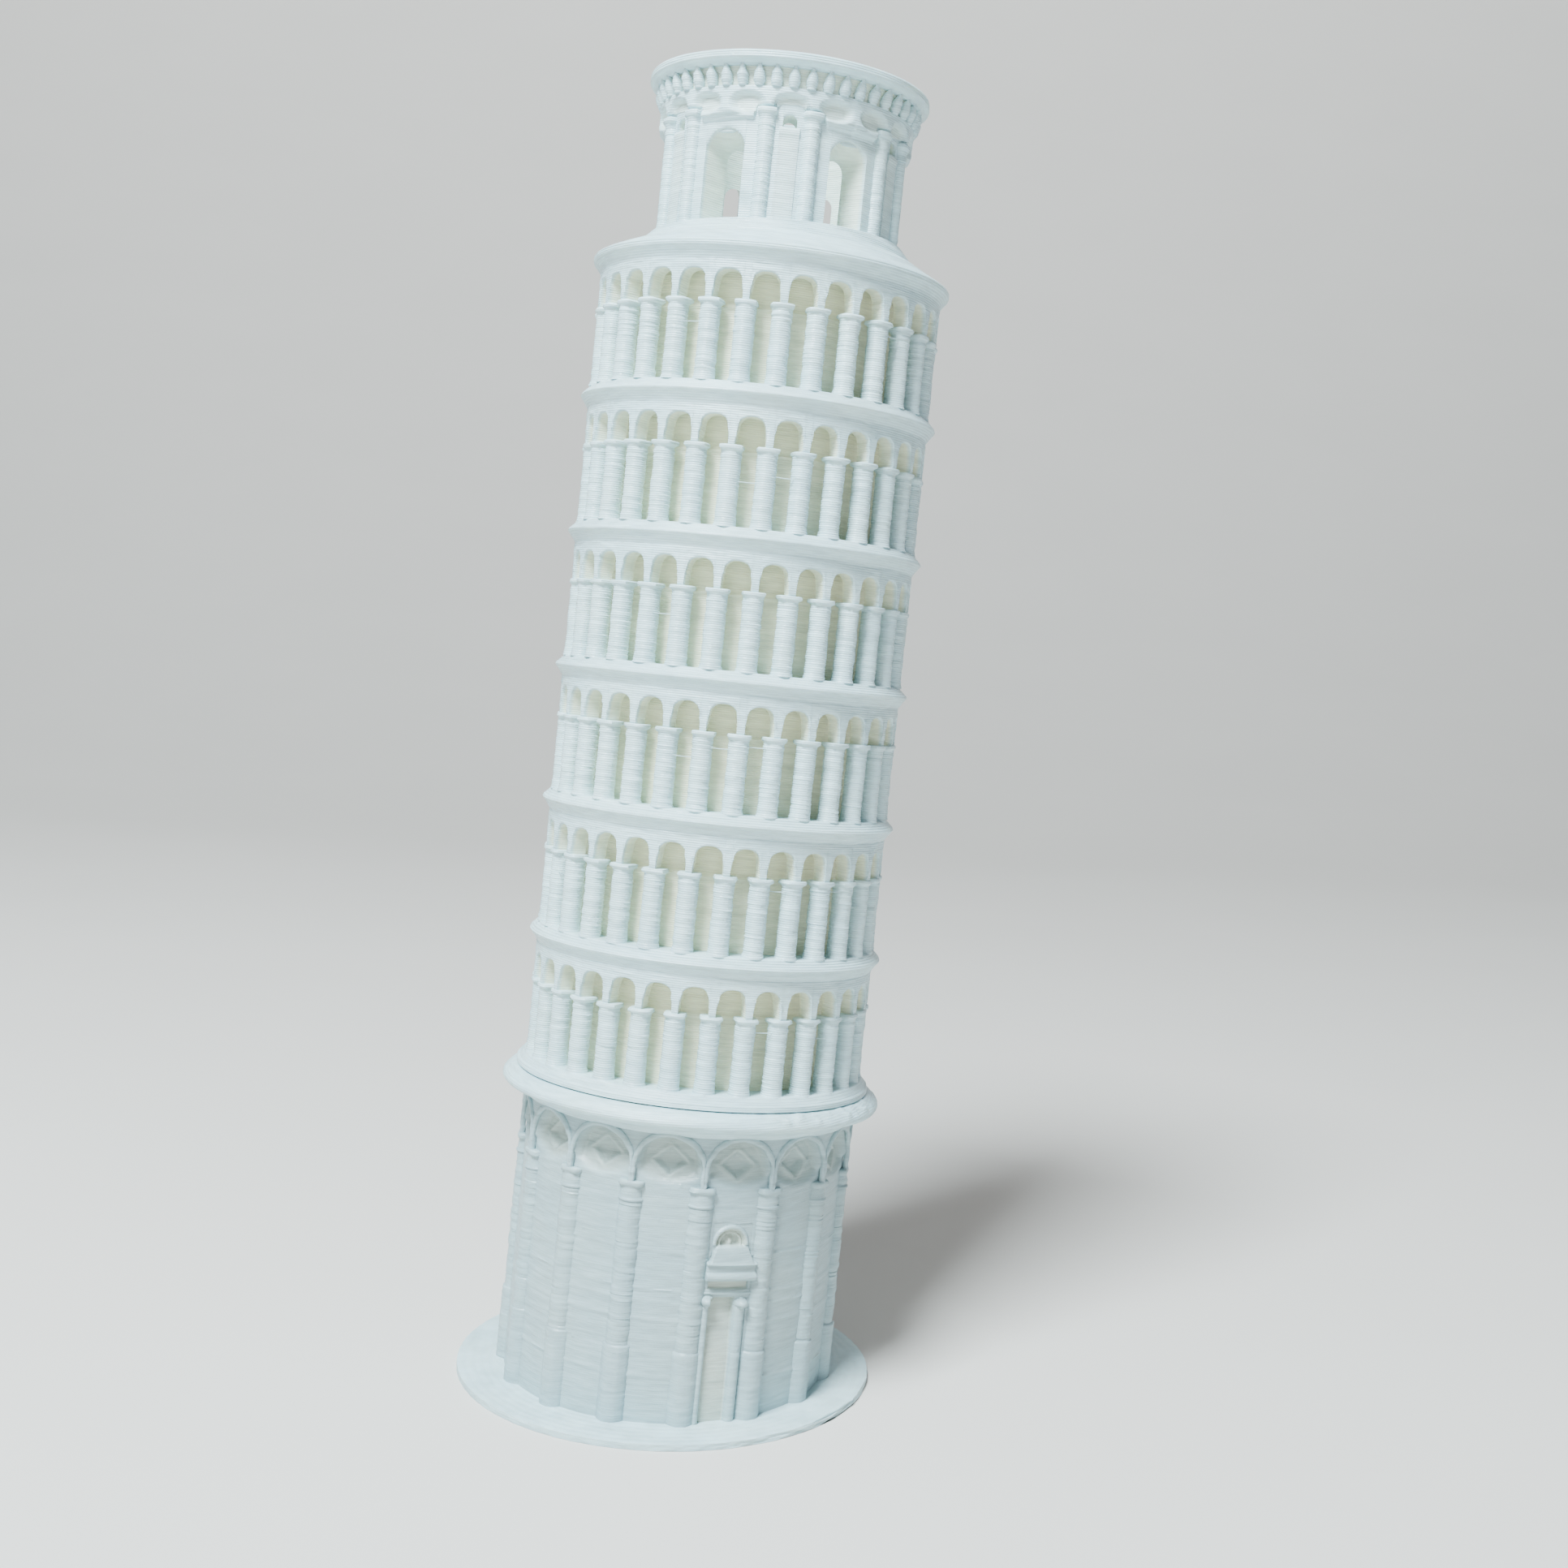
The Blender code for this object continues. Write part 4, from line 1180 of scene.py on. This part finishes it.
    def build(self, tower: Tower, material: bpy.types.Material) -> bpy.types.Object:
        """The relief bent round the drum on a grid, with a plain back inside the wall's pocket.

        Args:
            tower: gives the extents and places the points.
            material: the piece's finish.

        Returns:
            The finished piece.
        """
        reach = self.reach
        x = np.linspace(-reach, reach, 120)[None, :]
        foot = tower.level_at(self.wall, self.heading + x / self.wall, self.buried)
        share = np.linspace(0.0, 1.0, 190)[:, None]
        z = foot + (self.top + 0.1 - foot) * share
        x = x + 0.0 * z
        relief, shade = self.relief(x, z)
        border = ease(np.abs(x), reach, reach - 0.12) * ease(z, self.top + 0.1, self.top - 0.05)
        turn = self.heading + x / self.wall
        radius = self.wall - 0.05 + relief * border + strata(self.wall, turn, z, 14.0, 0.02)
        back = np.full_like(x, self.wall - self.pocket_depth - 0.2)
        radii = np.concatenate([radius, back[:, ::-8]], axis=1)
        turns = np.concatenate([turn, turn[:, ::-8]], axis=1)
        levels = np.concatenate([z, z[:, ::-8]], axis=1)
        patch = Surface("portal")
        patch.rods(tower.place(radii, turns, levels), np.concatenate([shade, 0.0 * back[:, ::-8]], axis=1))
        return patch.build(material, "portal_surround")


@dataclass(frozen=True)
class FootDisc:
    """The low disc that the upper section stands on, a hair above the ground cornice."""

    inner: float = 12.5
    seam: float = 0.12
    step: float = 0.55

    def build(self, tower: Tower, material: bpy.types.Material) -> bpy.types.Object:
        """A turned ring with layered sides and a set-back upper half.

        Args:
            tower: gives the extents and places the points.
            material: the piece's finish.

        Returns:
            The finished piece.
        """
        span = tower.span("upper_foot_disc")
        low, edge = span.low - self.seam, span.outer - 0.06
        outline = np.concatenate([
            [[self.inner, low], [edge - 0.3, low]],
            layered((edge, low + 0.02), (edge - 0.06, low + self.step)),
            layered((edge - 0.2, low + self.step + 0.05), (edge - 0.7, span.high)),
            [[edge - 1.0, span.high + 0.02], [self.inner, span.high + 0.02]],
        ])
        ring = Surface("upper_foot_ring")
        ring.ring(turned(tower, outline, 300, 33.0, 0.025))
        return ring.build(material, "upper_foot_disc")


@dataclass(frozen=True)
class Roof:
    """The topmost cornice and the sloping ledge up to the belfry."""

    front: float = 16.15
    lip: float = 0.34
    knee_radius: float = 13.2
    knee_rise: float = 2.2
    belfry: float = 11.9
    skew: float = 0.45  # how much higher the belfry's floor lies on the right than in the middle

    def build(self, tower: Tower, material: bpy.types.Material) -> bpy.types.Object:
        """A turned solid: soffit, lip, two layered slopes and a floor, shut at the axis above and below.

        Args:
            tower: gives the extents and places the points.
            material: the piece's finish.

        Returns:
            The finished piece.
        """
        span = tower.span("roof_ledge")
        rim, edge = span.low + 1.15, span.outer - 0.03
        outline = np.concatenate([
            [[1.0, span.low - BURY], [15.9, span.low - BURY]],
            [[self.front, span.low - 0.2], [self.front, span.low + 0.05]],
            [[self.front + 0.2, rim - 0.72], [edge - 0.2, rim - 0.28], [edge - 0.04, rim - 0.1]],
            layered((edge - 0.03, rim - 0.04), (edge - 0.06, rim + self.lip)),
            layered((edge - 0.2, rim + self.lip + 0.08), (self.knee_radius, rim + self.knee_rise)),
            layered((self.knee_radius - 0.1, rim + self.knee_rise + 0.06), (self.belfry, span.high)),
            [[self.belfry - 0.4, span.high], [8.0, span.high], [4.0, span.high], [1.0, span.high]],
        ])
        solid = Surface("roof_slope")
        points = turned(tower, outline, 300, 51.0, 0.022)
        heading = np.linspace(0.0, FULL_TURN, 300, endpoint=False)[:, None]
        lift = self.skew * np.sin(heading) * ease(outline[:, 1], rim + self.lip, span.high)[None, :]
        solid.rods((points + lift[:, :, None] * tower.axis * MM).transpose(1, 0, 2))
        return solid.build(material, "roof_ledge")


@dataclass(frozen=True)
class Belfry:
    """The open top storey: pierced wall, half-columns with shallow arches, corbels and crown."""

    tall: int = 6
    first: float = math.radians(31.7)  # a tall opening
    narrow: float = math.radians(21.0)  # bay of a small window
    wall: float = 11.3
    bore: float = 8.65
    sunk_foot: float = 0.9  # how far the belfry runs down into the roof
    niche_half: float = 2.0
    niche_spring: float = 114.55
    niche_rise: float = 1.95
    door_half: float = 1.15
    door_spring: float = 113.9
    window_half: float = 0.66
    window_sill: float = 116.6
    window_spring: float = 117.15
    window_rise: float = 0.6
    window_top: float = 117.9
    column: Column = Column(11.12, 0.76, 1.45, 0.94, slab=0.55, flare=0.1, neck=0.06)
    capital_level: float = 118.15
    face: float = 11.8
    arches: int = 18
    arch_level: float = 118.5
    arch_rise: float = 1.08
    arch_depth: float = 0.62
    arch_proud: float = 0.48
    arch_power: float = 2.2  # 2 is an ellipse, more is squarer
    drape: tuple[float, float] = (116.4, 118.0)  # where the wall swells out to carry the arches
    corbels: int = 48
    corbel_half: float = 0.52

    def bays(self) -> tuple[Array, Array]:
        """Width and start of each bay, a tall one and a small one by turns.

        Returns:
            Widths and starting headings, in radians.
        """
        wide = FULL_TURN / self.tall - self.narrow
        width = np.tile([wide, self.narrow], self.tall)
        start = self.first - wide / 2.0 + np.concatenate([[0.0], np.cumsum(width)[:-1]])
        return width, start

    def build_wall(self, tower: Tower, material: bpy.types.Material) -> bpy.types.Object:
        """A ring pierced by tall splayed openings and small windows, with a panel under each window.

        Args:
            tower: gives the extents and places the points.
            material: the piece's finish.

        Returns:
            The finished piece.
        """
        span = tower.span("belfry_drum")
        widths, starts = self.bays()
        wide = widths[0]
        foot = span.low - self.sunk_foot

        def arch(bay: float, half: float, radius: float, spring: float, rise: float) -> Arch:
            """An opening of this half-width, with straight sides down to the floor."""
            pier = bay / 2.0 - half / radius
            return Arch(foot, spring, rise, pier, pier, power=2.0, legs=8)

        outer = [arch(wide, self.niche_half, self.wall, self.niche_spring, self.niche_rise),
                 arch(self.narrow, self.window_half, self.wall, self.window_spring, self.window_rise)]
        inner = [arch(wide, self.door_half, self.bore, self.door_spring, self.door_half),
                 arch(self.narrow, self.window_half - 0.06, self.bore, self.window_spring, 0.55)]
        drum = Surface("belfry_wall")
        ring = ArchRing(self.wall, self.bore, span.high + BURY, soften=0.08, seed=61.0, reveal=6)
        loops = ring.loops(tower, widths, starts, outer * self.tall, inner * self.tall)
        # Painted shade, as a cream glow, on the openings' reveals and backs, and lightly on the panels under
        # the small windows.
        drum.ring(loops, ring.shade(0.4, 0.35))
        drum.rods(self.panels(tower, foot), 0.1)
        return drum.build(material, "belfry_drum", crease=40.0)

    def panels(self, tower: Tower, foot: float) -> Array:
        """Blocks under the small windows: upright rods of a bent oblong plan, each with a sill at its top.

        Args:
            tower: places the points.
            foot: level of the blocks' feet.

        Returns:
            Points in metres, for blocks, rows and points around.
        """
        pair = FULL_TURN / self.tall
        middle = (self.first + pair / 2.0 + pair * np.arange(self.tall))[:, None, None]
        level = np.append(np.linspace(foot, self.window_sill, 40), self.window_sill + 0.02)[None, :, None]
        reach = (self.window_half + 0.25) / self.wall
        across = np.concatenate([np.linspace(-reach, reach, 7), np.linspace(reach, -reach, 7)])[None, None, :]
        outside = np.repeat([1.0, 0.0], 7)[None, None, :]
        front = self.wall + 0.06 + 0.16 * mound(level, self.window_sill - 0.35, 0.36)
        radius = self.bore + 0.1 + (front - self.bore - 0.1) * outside
        radius = radius + strata(self.wall, across, level, 65.0, 0.03) * outside
        return tower.place(radius, middle + across, level)

    def build_columns(self, tower: Tower, material: bpy.types.Material) -> bpy.types.Object:
        """Half-columns in pairs, the string course over the tall bays, and a ring of shallow arches.

        Args:
            tower: gives the extents and places the points.
            material: the piece's finish.

        Returns:
            The finished piece.
        """
        span = tower.span("belfry_columns")
        widths, starts = self.bays()
        ranks = Surface("belfry_half_columns")
        foot = np.array([[span.low - self.sunk_foot]])
        ranks.rods(self.column.rows(tower, starts, foot, self.capital_level, 71.0))
        ranks.ring(*self.scallops(tower, span.high + BURY))
        return ranks.build(material, "belfry_columns")

    def scallops(self, tower: Tower, top: float) -> tuple[Array, Array]:
        """The band of shallow blind arches: a ring whose face is hollowed like a shell in each bay.

        Below the arches the face falls back to the wall in a sagging, rippled slope. Each hollow is a
        superellipse in heading and level, deepest in its middle.

        Args:
            tower: places the points.
            top: level of the band's top.

        Returns:
            Points in metres and their shade, for sections and points around each.
        """
        low, high = self.drape
        bay, pair = FULL_TURN / self.arches, FULL_TURN / self.tall
        heading = self.first + np.linspace(0.0, FULL_TURN, self.arches * 30, endpoint=False)[:, None]
        aside = np.abs((heading - self.first) % pair - pair / 2.0) * self.face
        window = ease(aside, 1.75, 1.3)
        bottom = low - 0.3 + (self.window_top - low + 0.3) * window
        level = bottom + (top - bottom) * np.linspace(0.0, 1.0, 40)[None, :]
        across = ((heading - self.first) % bay - bay / 2.0) * self.face
        half = bay * self.face / 2.0 - 0.2
        tall = np.abs(level - self.arch_level) / self.arch_rise
        power = self.arch_power
        inside = 1.0 - ((np.abs(across) / half) ** power + tall ** power) ** (1.0 / power)
        hollow = ease(inside, 0.0, 0.5)
        sag = 0.25 * lumps(heading * 3.0, 0.0 * level, 75.0)
        column = ease(np.abs(aside - self.narrow * self.face / 2.0), 1.35, 0.9)
        raise_by = (self.capital_level - low) * np.maximum(window, column)
        swell = ease(level + sag * (1.0 - column), low + raise_by, np.maximum(high, low + raise_by + 0.3))
        ripple = 0.045 * np.sin(FULL_TURN * (level + 1.6 * sag) / 0.5) * ease(np.abs(level - 117.2), 0.9, 0.3)
        ripple = ripple * (1.0 - np.maximum(window, column))
        proud = self.face - self.wall + self.arch_proud
        radius = self.wall - 0.3 + proud * swell + ripple - self.arch_depth * hollow
        radius = radius + strata(self.face, heading, level, 73.0, 0.03)
        back = np.full_like(heading, self.bore + 0.6)
        radius = np.concatenate([radius, back, back], axis=1)
        shade = np.concatenate([0.2 * hollow, 0.0 * back, 0.0 * back], axis=1)
        level = np.concatenate([level, level[:, -1:], level[:, :1]], axis=1)
        return tower.place(radius, heading, level), shade

    def build_corbels(self, tower: Tower, material: bpy.types.Material) -> bpy.types.Object:
        """A flaring band with a ring of small brackets, each a rod that leans out and ends in a rounded tip.

        Args:
            tower: gives the extents and places the points.
            material: the piece's finish.

        Returns:
            The finished piece.
        """
        span = tower.span("corbel_ring")
        low, high = span.low - 0.1, span.high + 0.05
        outline = np.array([
            [self.bore, low - BURY], [self.face - 0.9, low - BURY], [self.face - 0.12, low - 0.05],
            [self.face - 0.1, low + 0.6], [self.face - 0.04, low + 1.2], [self.face + 0.1, high - 0.1],
            [self.face + 0.2, high + BURY], [self.bore, high + BURY],
        ])
        ring = Surface("corbels")
        shade = np.repeat([0.0, 0.45, 0.0], [2, 4, 2])[None, :]
        ring.ring(turned(tower, outline, 240, 81.0, 0.02), shade)
        share = np.linspace(0.0, 1.0, 14)[None, :, None]
        angle = np.linspace(0.0, FULL_TURN, 10, endpoint=False)[None, None, :]
        middle = (self.first + FULL_TURN / self.corbels * np.arange(self.corbels))[:, None, None]
        level = low + 0.15 + (high - low - 0.1) * share
        swell = 0.8 + 0.2 * ease(share, 0.0, 0.2) - 0.72 * ease(share, 0.45, 1.0)
        swell = swell * (1.0 + 0.12 * lumps(middle * 40.0, share * 8.0, 82.0))
        lean = self.face + 0.05 + (span.outer - self.face - 0.4) * share ** 1.3
        out = lean + self.corbel_half * swell * np.cos(angle)
        across = self.corbel_half * swell * np.sin(angle)
        ring.rods(tower.place(out, middle + across / self.face, level + 0.0 * across))
        return ring.build(material, "corbel_ring")

    def build_crown(self, tower: Tower, material: bpy.types.Material) -> bpy.types.Object:
        """The plain open rim: a turned ring that flares out over the corbels.

        Args:
            tower: gives the extents and places the points.
            material: the piece's finish.

        Returns:
            The finished piece.
        """
        span = tower.span("crown_rim")
        edge, low, high = span.outer - 0.05, span.low, span.high - 0.02
        outline = np.concatenate([
            [[span.inner, low - BURY], [self.face + 0.6, low - BURY], [self.face + 0.75, low - 0.22]],
            [[edge - 0.3, low - 0.08], [edge - 0.06, low + 0.04]],
            layered((edge, low + 0.1), (edge, high - 0.1), bead=0.03),
            [[edge - 0.06, high - 0.03], [edge - 0.2, high]],
            [[span.inner + 0.2, high], [span.inner, high - 0.1]],
        ])
        ring = Surface("crown_ring")
        ring.ring(turned(tower, outline, 300, 91.0, 0.02))
        return ring.build(material, "crown_rim")


# Studio


@dataclass(frozen=True)
class Viewpoint:
    """A camera that looks along +Y before it is turned. Its place is in millimetres."""

    place: tuple[float, float, float] = (5.63, -192.2, 76.77)
    yaw: float = math.radians(-1.01)
    pitch: float = math.radians(-5.73)
    roll: float = math.radians(-2.83)
    lens: float = 46.7

    def build(self) -> bpy.types.Object:
        """Adds the camera and makes it the scene's.

        Returns:
            The camera.
        """
        data = bpy.data.cameras.new("viewpoint")
        data.lens = self.lens
        data.clip_start, data.clip_end = 0.005, 20.0
        camera = bpy.data.objects.new("viewpoint", data)
        bpy.context.scene.collection.objects.link(camera)
        turn = Matrix.Rotation(self.yaw, 3, "Z") @ Matrix.Rotation(self.pitch, 3, "X")
        turn = turn @ Matrix.Rotation(self.roll, 3, "Y") @ Matrix.Rotation(math.pi / 2.0, 3, "X")
        camera.matrix_world = Matrix.Translation(Vector(self.place) * MM) @ turn.to_4x4()
        bpy.context.scene.camera = camera
        return camera


@dataclass(frozen=True)
class Lamp:
    """A soft square light that faces the tower's middle."""

    name: str
    place: tuple[float, float, float]
    side: float
    power: float
    colour: tuple[float, float, float]

    def build(self, target: Vector) -> bpy.types.Object:
        """Adds the light, turned to the target.

        Args:
            target: the point that the light faces.

        Returns:
            The light.
        """
        data = bpy.data.lights.new(self.name, "AREA")
        data.size, data.energy, data.color = self.side, self.power, self.colour
        lamp = bpy.data.objects.new(self.name, data)
        bpy.context.scene.collection.objects.link(lamp)
        lamp.location = self.place
        lamp.rotation_euler = (target - Vector(self.place)).to_track_quat("-Z", "Y").to_euler()
        return lamp


@dataclass(frozen=True)
class Studio:
    """Pale sweep, soft lamps and an even sky."""

    lamps: tuple[Lamp, ...] = (
        Lamp("window_lamp", (-0.16, -0.27, 0.54), 0.18, 13.5, (0.82, 0.94, 1.0)),
        Lamp("front_lamp", (-0.2, -0.6, 0.16), 0.5, 1.2, (1.0, 1.0, 0.95)),
        Lamp("fill_lamp", (0.5, -0.35, 0.12), 0.4, 0.35, (0.84, 0.83, 1.0)),
    )
    sky: tuple[float, float, float, float] = (0.88, 0.92, 1.0, 1.0)
    sky_strength: float = 0.28
    floor_colour: tuple[float, float, float, float] = (0.97, 0.92, 0.86, 1.0)
    floor_tone: float = 0.7  # tone of the floor beside that of the backdrop
    depth: float = 0.38
    bend: float = 0.35
    height: float = 1.4
    half_width: float = 1.6

    def build(self) -> None:
        """Adds the sweep, the lamps and the sky."""
        low, high = packed_box
        for lamp in self.lamps:
            lamp.build((low + high) / 2.0)
        world = bpy.data.worlds.new("sky")
        world.use_nodes = True
        world.node_tree.nodes["Background"].inputs["Color"].default_value = self.sky
        world.node_tree.nodes["Background"].inputs["Strength"].default_value = self.sky_strength
        bpy.context.scene.world = world
        self.sweep()

    def sweep(self) -> bpy.types.Object:
        """The floor, which bends up into a backdrop: a straight, a quarter circle and a straight.

        Returns:
            The sweep.
        """
        angle = np.linspace(0.0, math.pi / 2.0, 24)
        curve = self.depth + self.bend * np.sin(angle)
        forward = np.concatenate([[-2.0, 0.0], curve, [self.depth + self.bend]])
        up = np.concatenate([[0.0, 0.0], self.bend * (1.0 - np.cos(angle)), [self.height]]) - 2e-5
        sides = np.array([-self.half_width, self.half_width])[:, None]
        points = np.stack(np.broadcast_arrays(sides, forward, up), axis=-1)
        row = np.arange(points.shape[1] - 1)
        other = row + points.shape[1]
        faces = np.stack([row, row + 1, other + 1, other], axis=-1)[:, ::-1]
        mesh = bpy.data.meshes.new("sweep")
        mesh.from_pydata(points.reshape(-1, 3).tolist(), [], faces.tolist())
        mesh.shade_smooth()
        material = bpy.data.materials.new("paper")
        graph = Graph(material)
        fibre = graph.add("TexNoise", {"Scale": 60.0, "Detail": 4.0}).outputs[0]
        tone = graph.add("MapRange", {0: fibre, 3: 0.97, 4: 1.03}).outputs[0]
        height = graph.add("SeparateXYZ", {0: graph.add("TexCoord").outputs["Object"]}).outputs["Z"]
        climb_range = {0: height, 1: 0.0, 2: self.bend, 3: self.floor_tone, 4: 1.0}
        climb = graph.add("MapRange", climb_range).outputs[0]
        tone = graph.maths("MULTIPLY", tone, climb)
        colour = graph.add("VectorMath", {0: self.floor_colour[:3], 3: tone}, operation="SCALE").outputs[0]
        shader = graph.add("BsdfPrincipled", {"Base Color": colour, "Roughness": 0.9})
        graph.add("OutputMaterial", {"Surface": shader.outputs[0]})
        mesh.materials.append(material)
        floor = bpy.data.objects.new("sweep", mesh)
        bpy.context.scene.collection.objects.link(floor)
        return floor


def main() -> None:
    """Builds the model from the plinth upwards, then the studio."""
    logging.basicConfig(level=logging.INFO, format="%(name)s: %(message)s")
    tower = Tower("upper_foot_disc", "crown_rim")
    plate = PrintedPlastic(roughness=0.5, swirl=0.5, tone=0.92).material("white_plate", tower, Plate.PLINTH)
    # Painted shade: the ground storey's wall, half-columns and portal are the same white plastic, made darker
    # here to stand in for the shade they lie in.
    walls = PrintedPlastic(tone=0.64, bead=0.1).material("white_walls_painted_shade", tower, Plate.PLINTH)
    lower = PrintedPlastic().material("white_lower", tower, Plate.PLINTH)
    upper = PrintedPlastic().material("white_upper", tower, Plate.FOOT_DISC)
    Plinth().build(plate)
    ground, portal = GroundStorey(), Portal()
    ground.build_wall(tower, portal, walls)
    ground.build_arcade(tower, walls)
    portal.build(tower, walls)
    ground.build_cornice(tower, lower)
    FootDisc().build(tower, upper)
    for number in range(1, GALLERIES + 1):
        gallery = Gallery(number)
        gallery.build_wall(tower, upper)
        gallery.build_colonnade(tower, upper)
        if number < GALLERIES:
            gallery.build_cornice(tower, upper)
    Roof().build(tower, upper)
    belfry = Belfry()
    belfry.build_wall(tower, upper)
    belfry.build_columns(tower, upper)
    belfry.build_corbels(tower, upper)
    belfry.build_crown(tower, upper)
    Viewpoint().build()
    Studio().build()


if __name__ == "__main__":
    main()
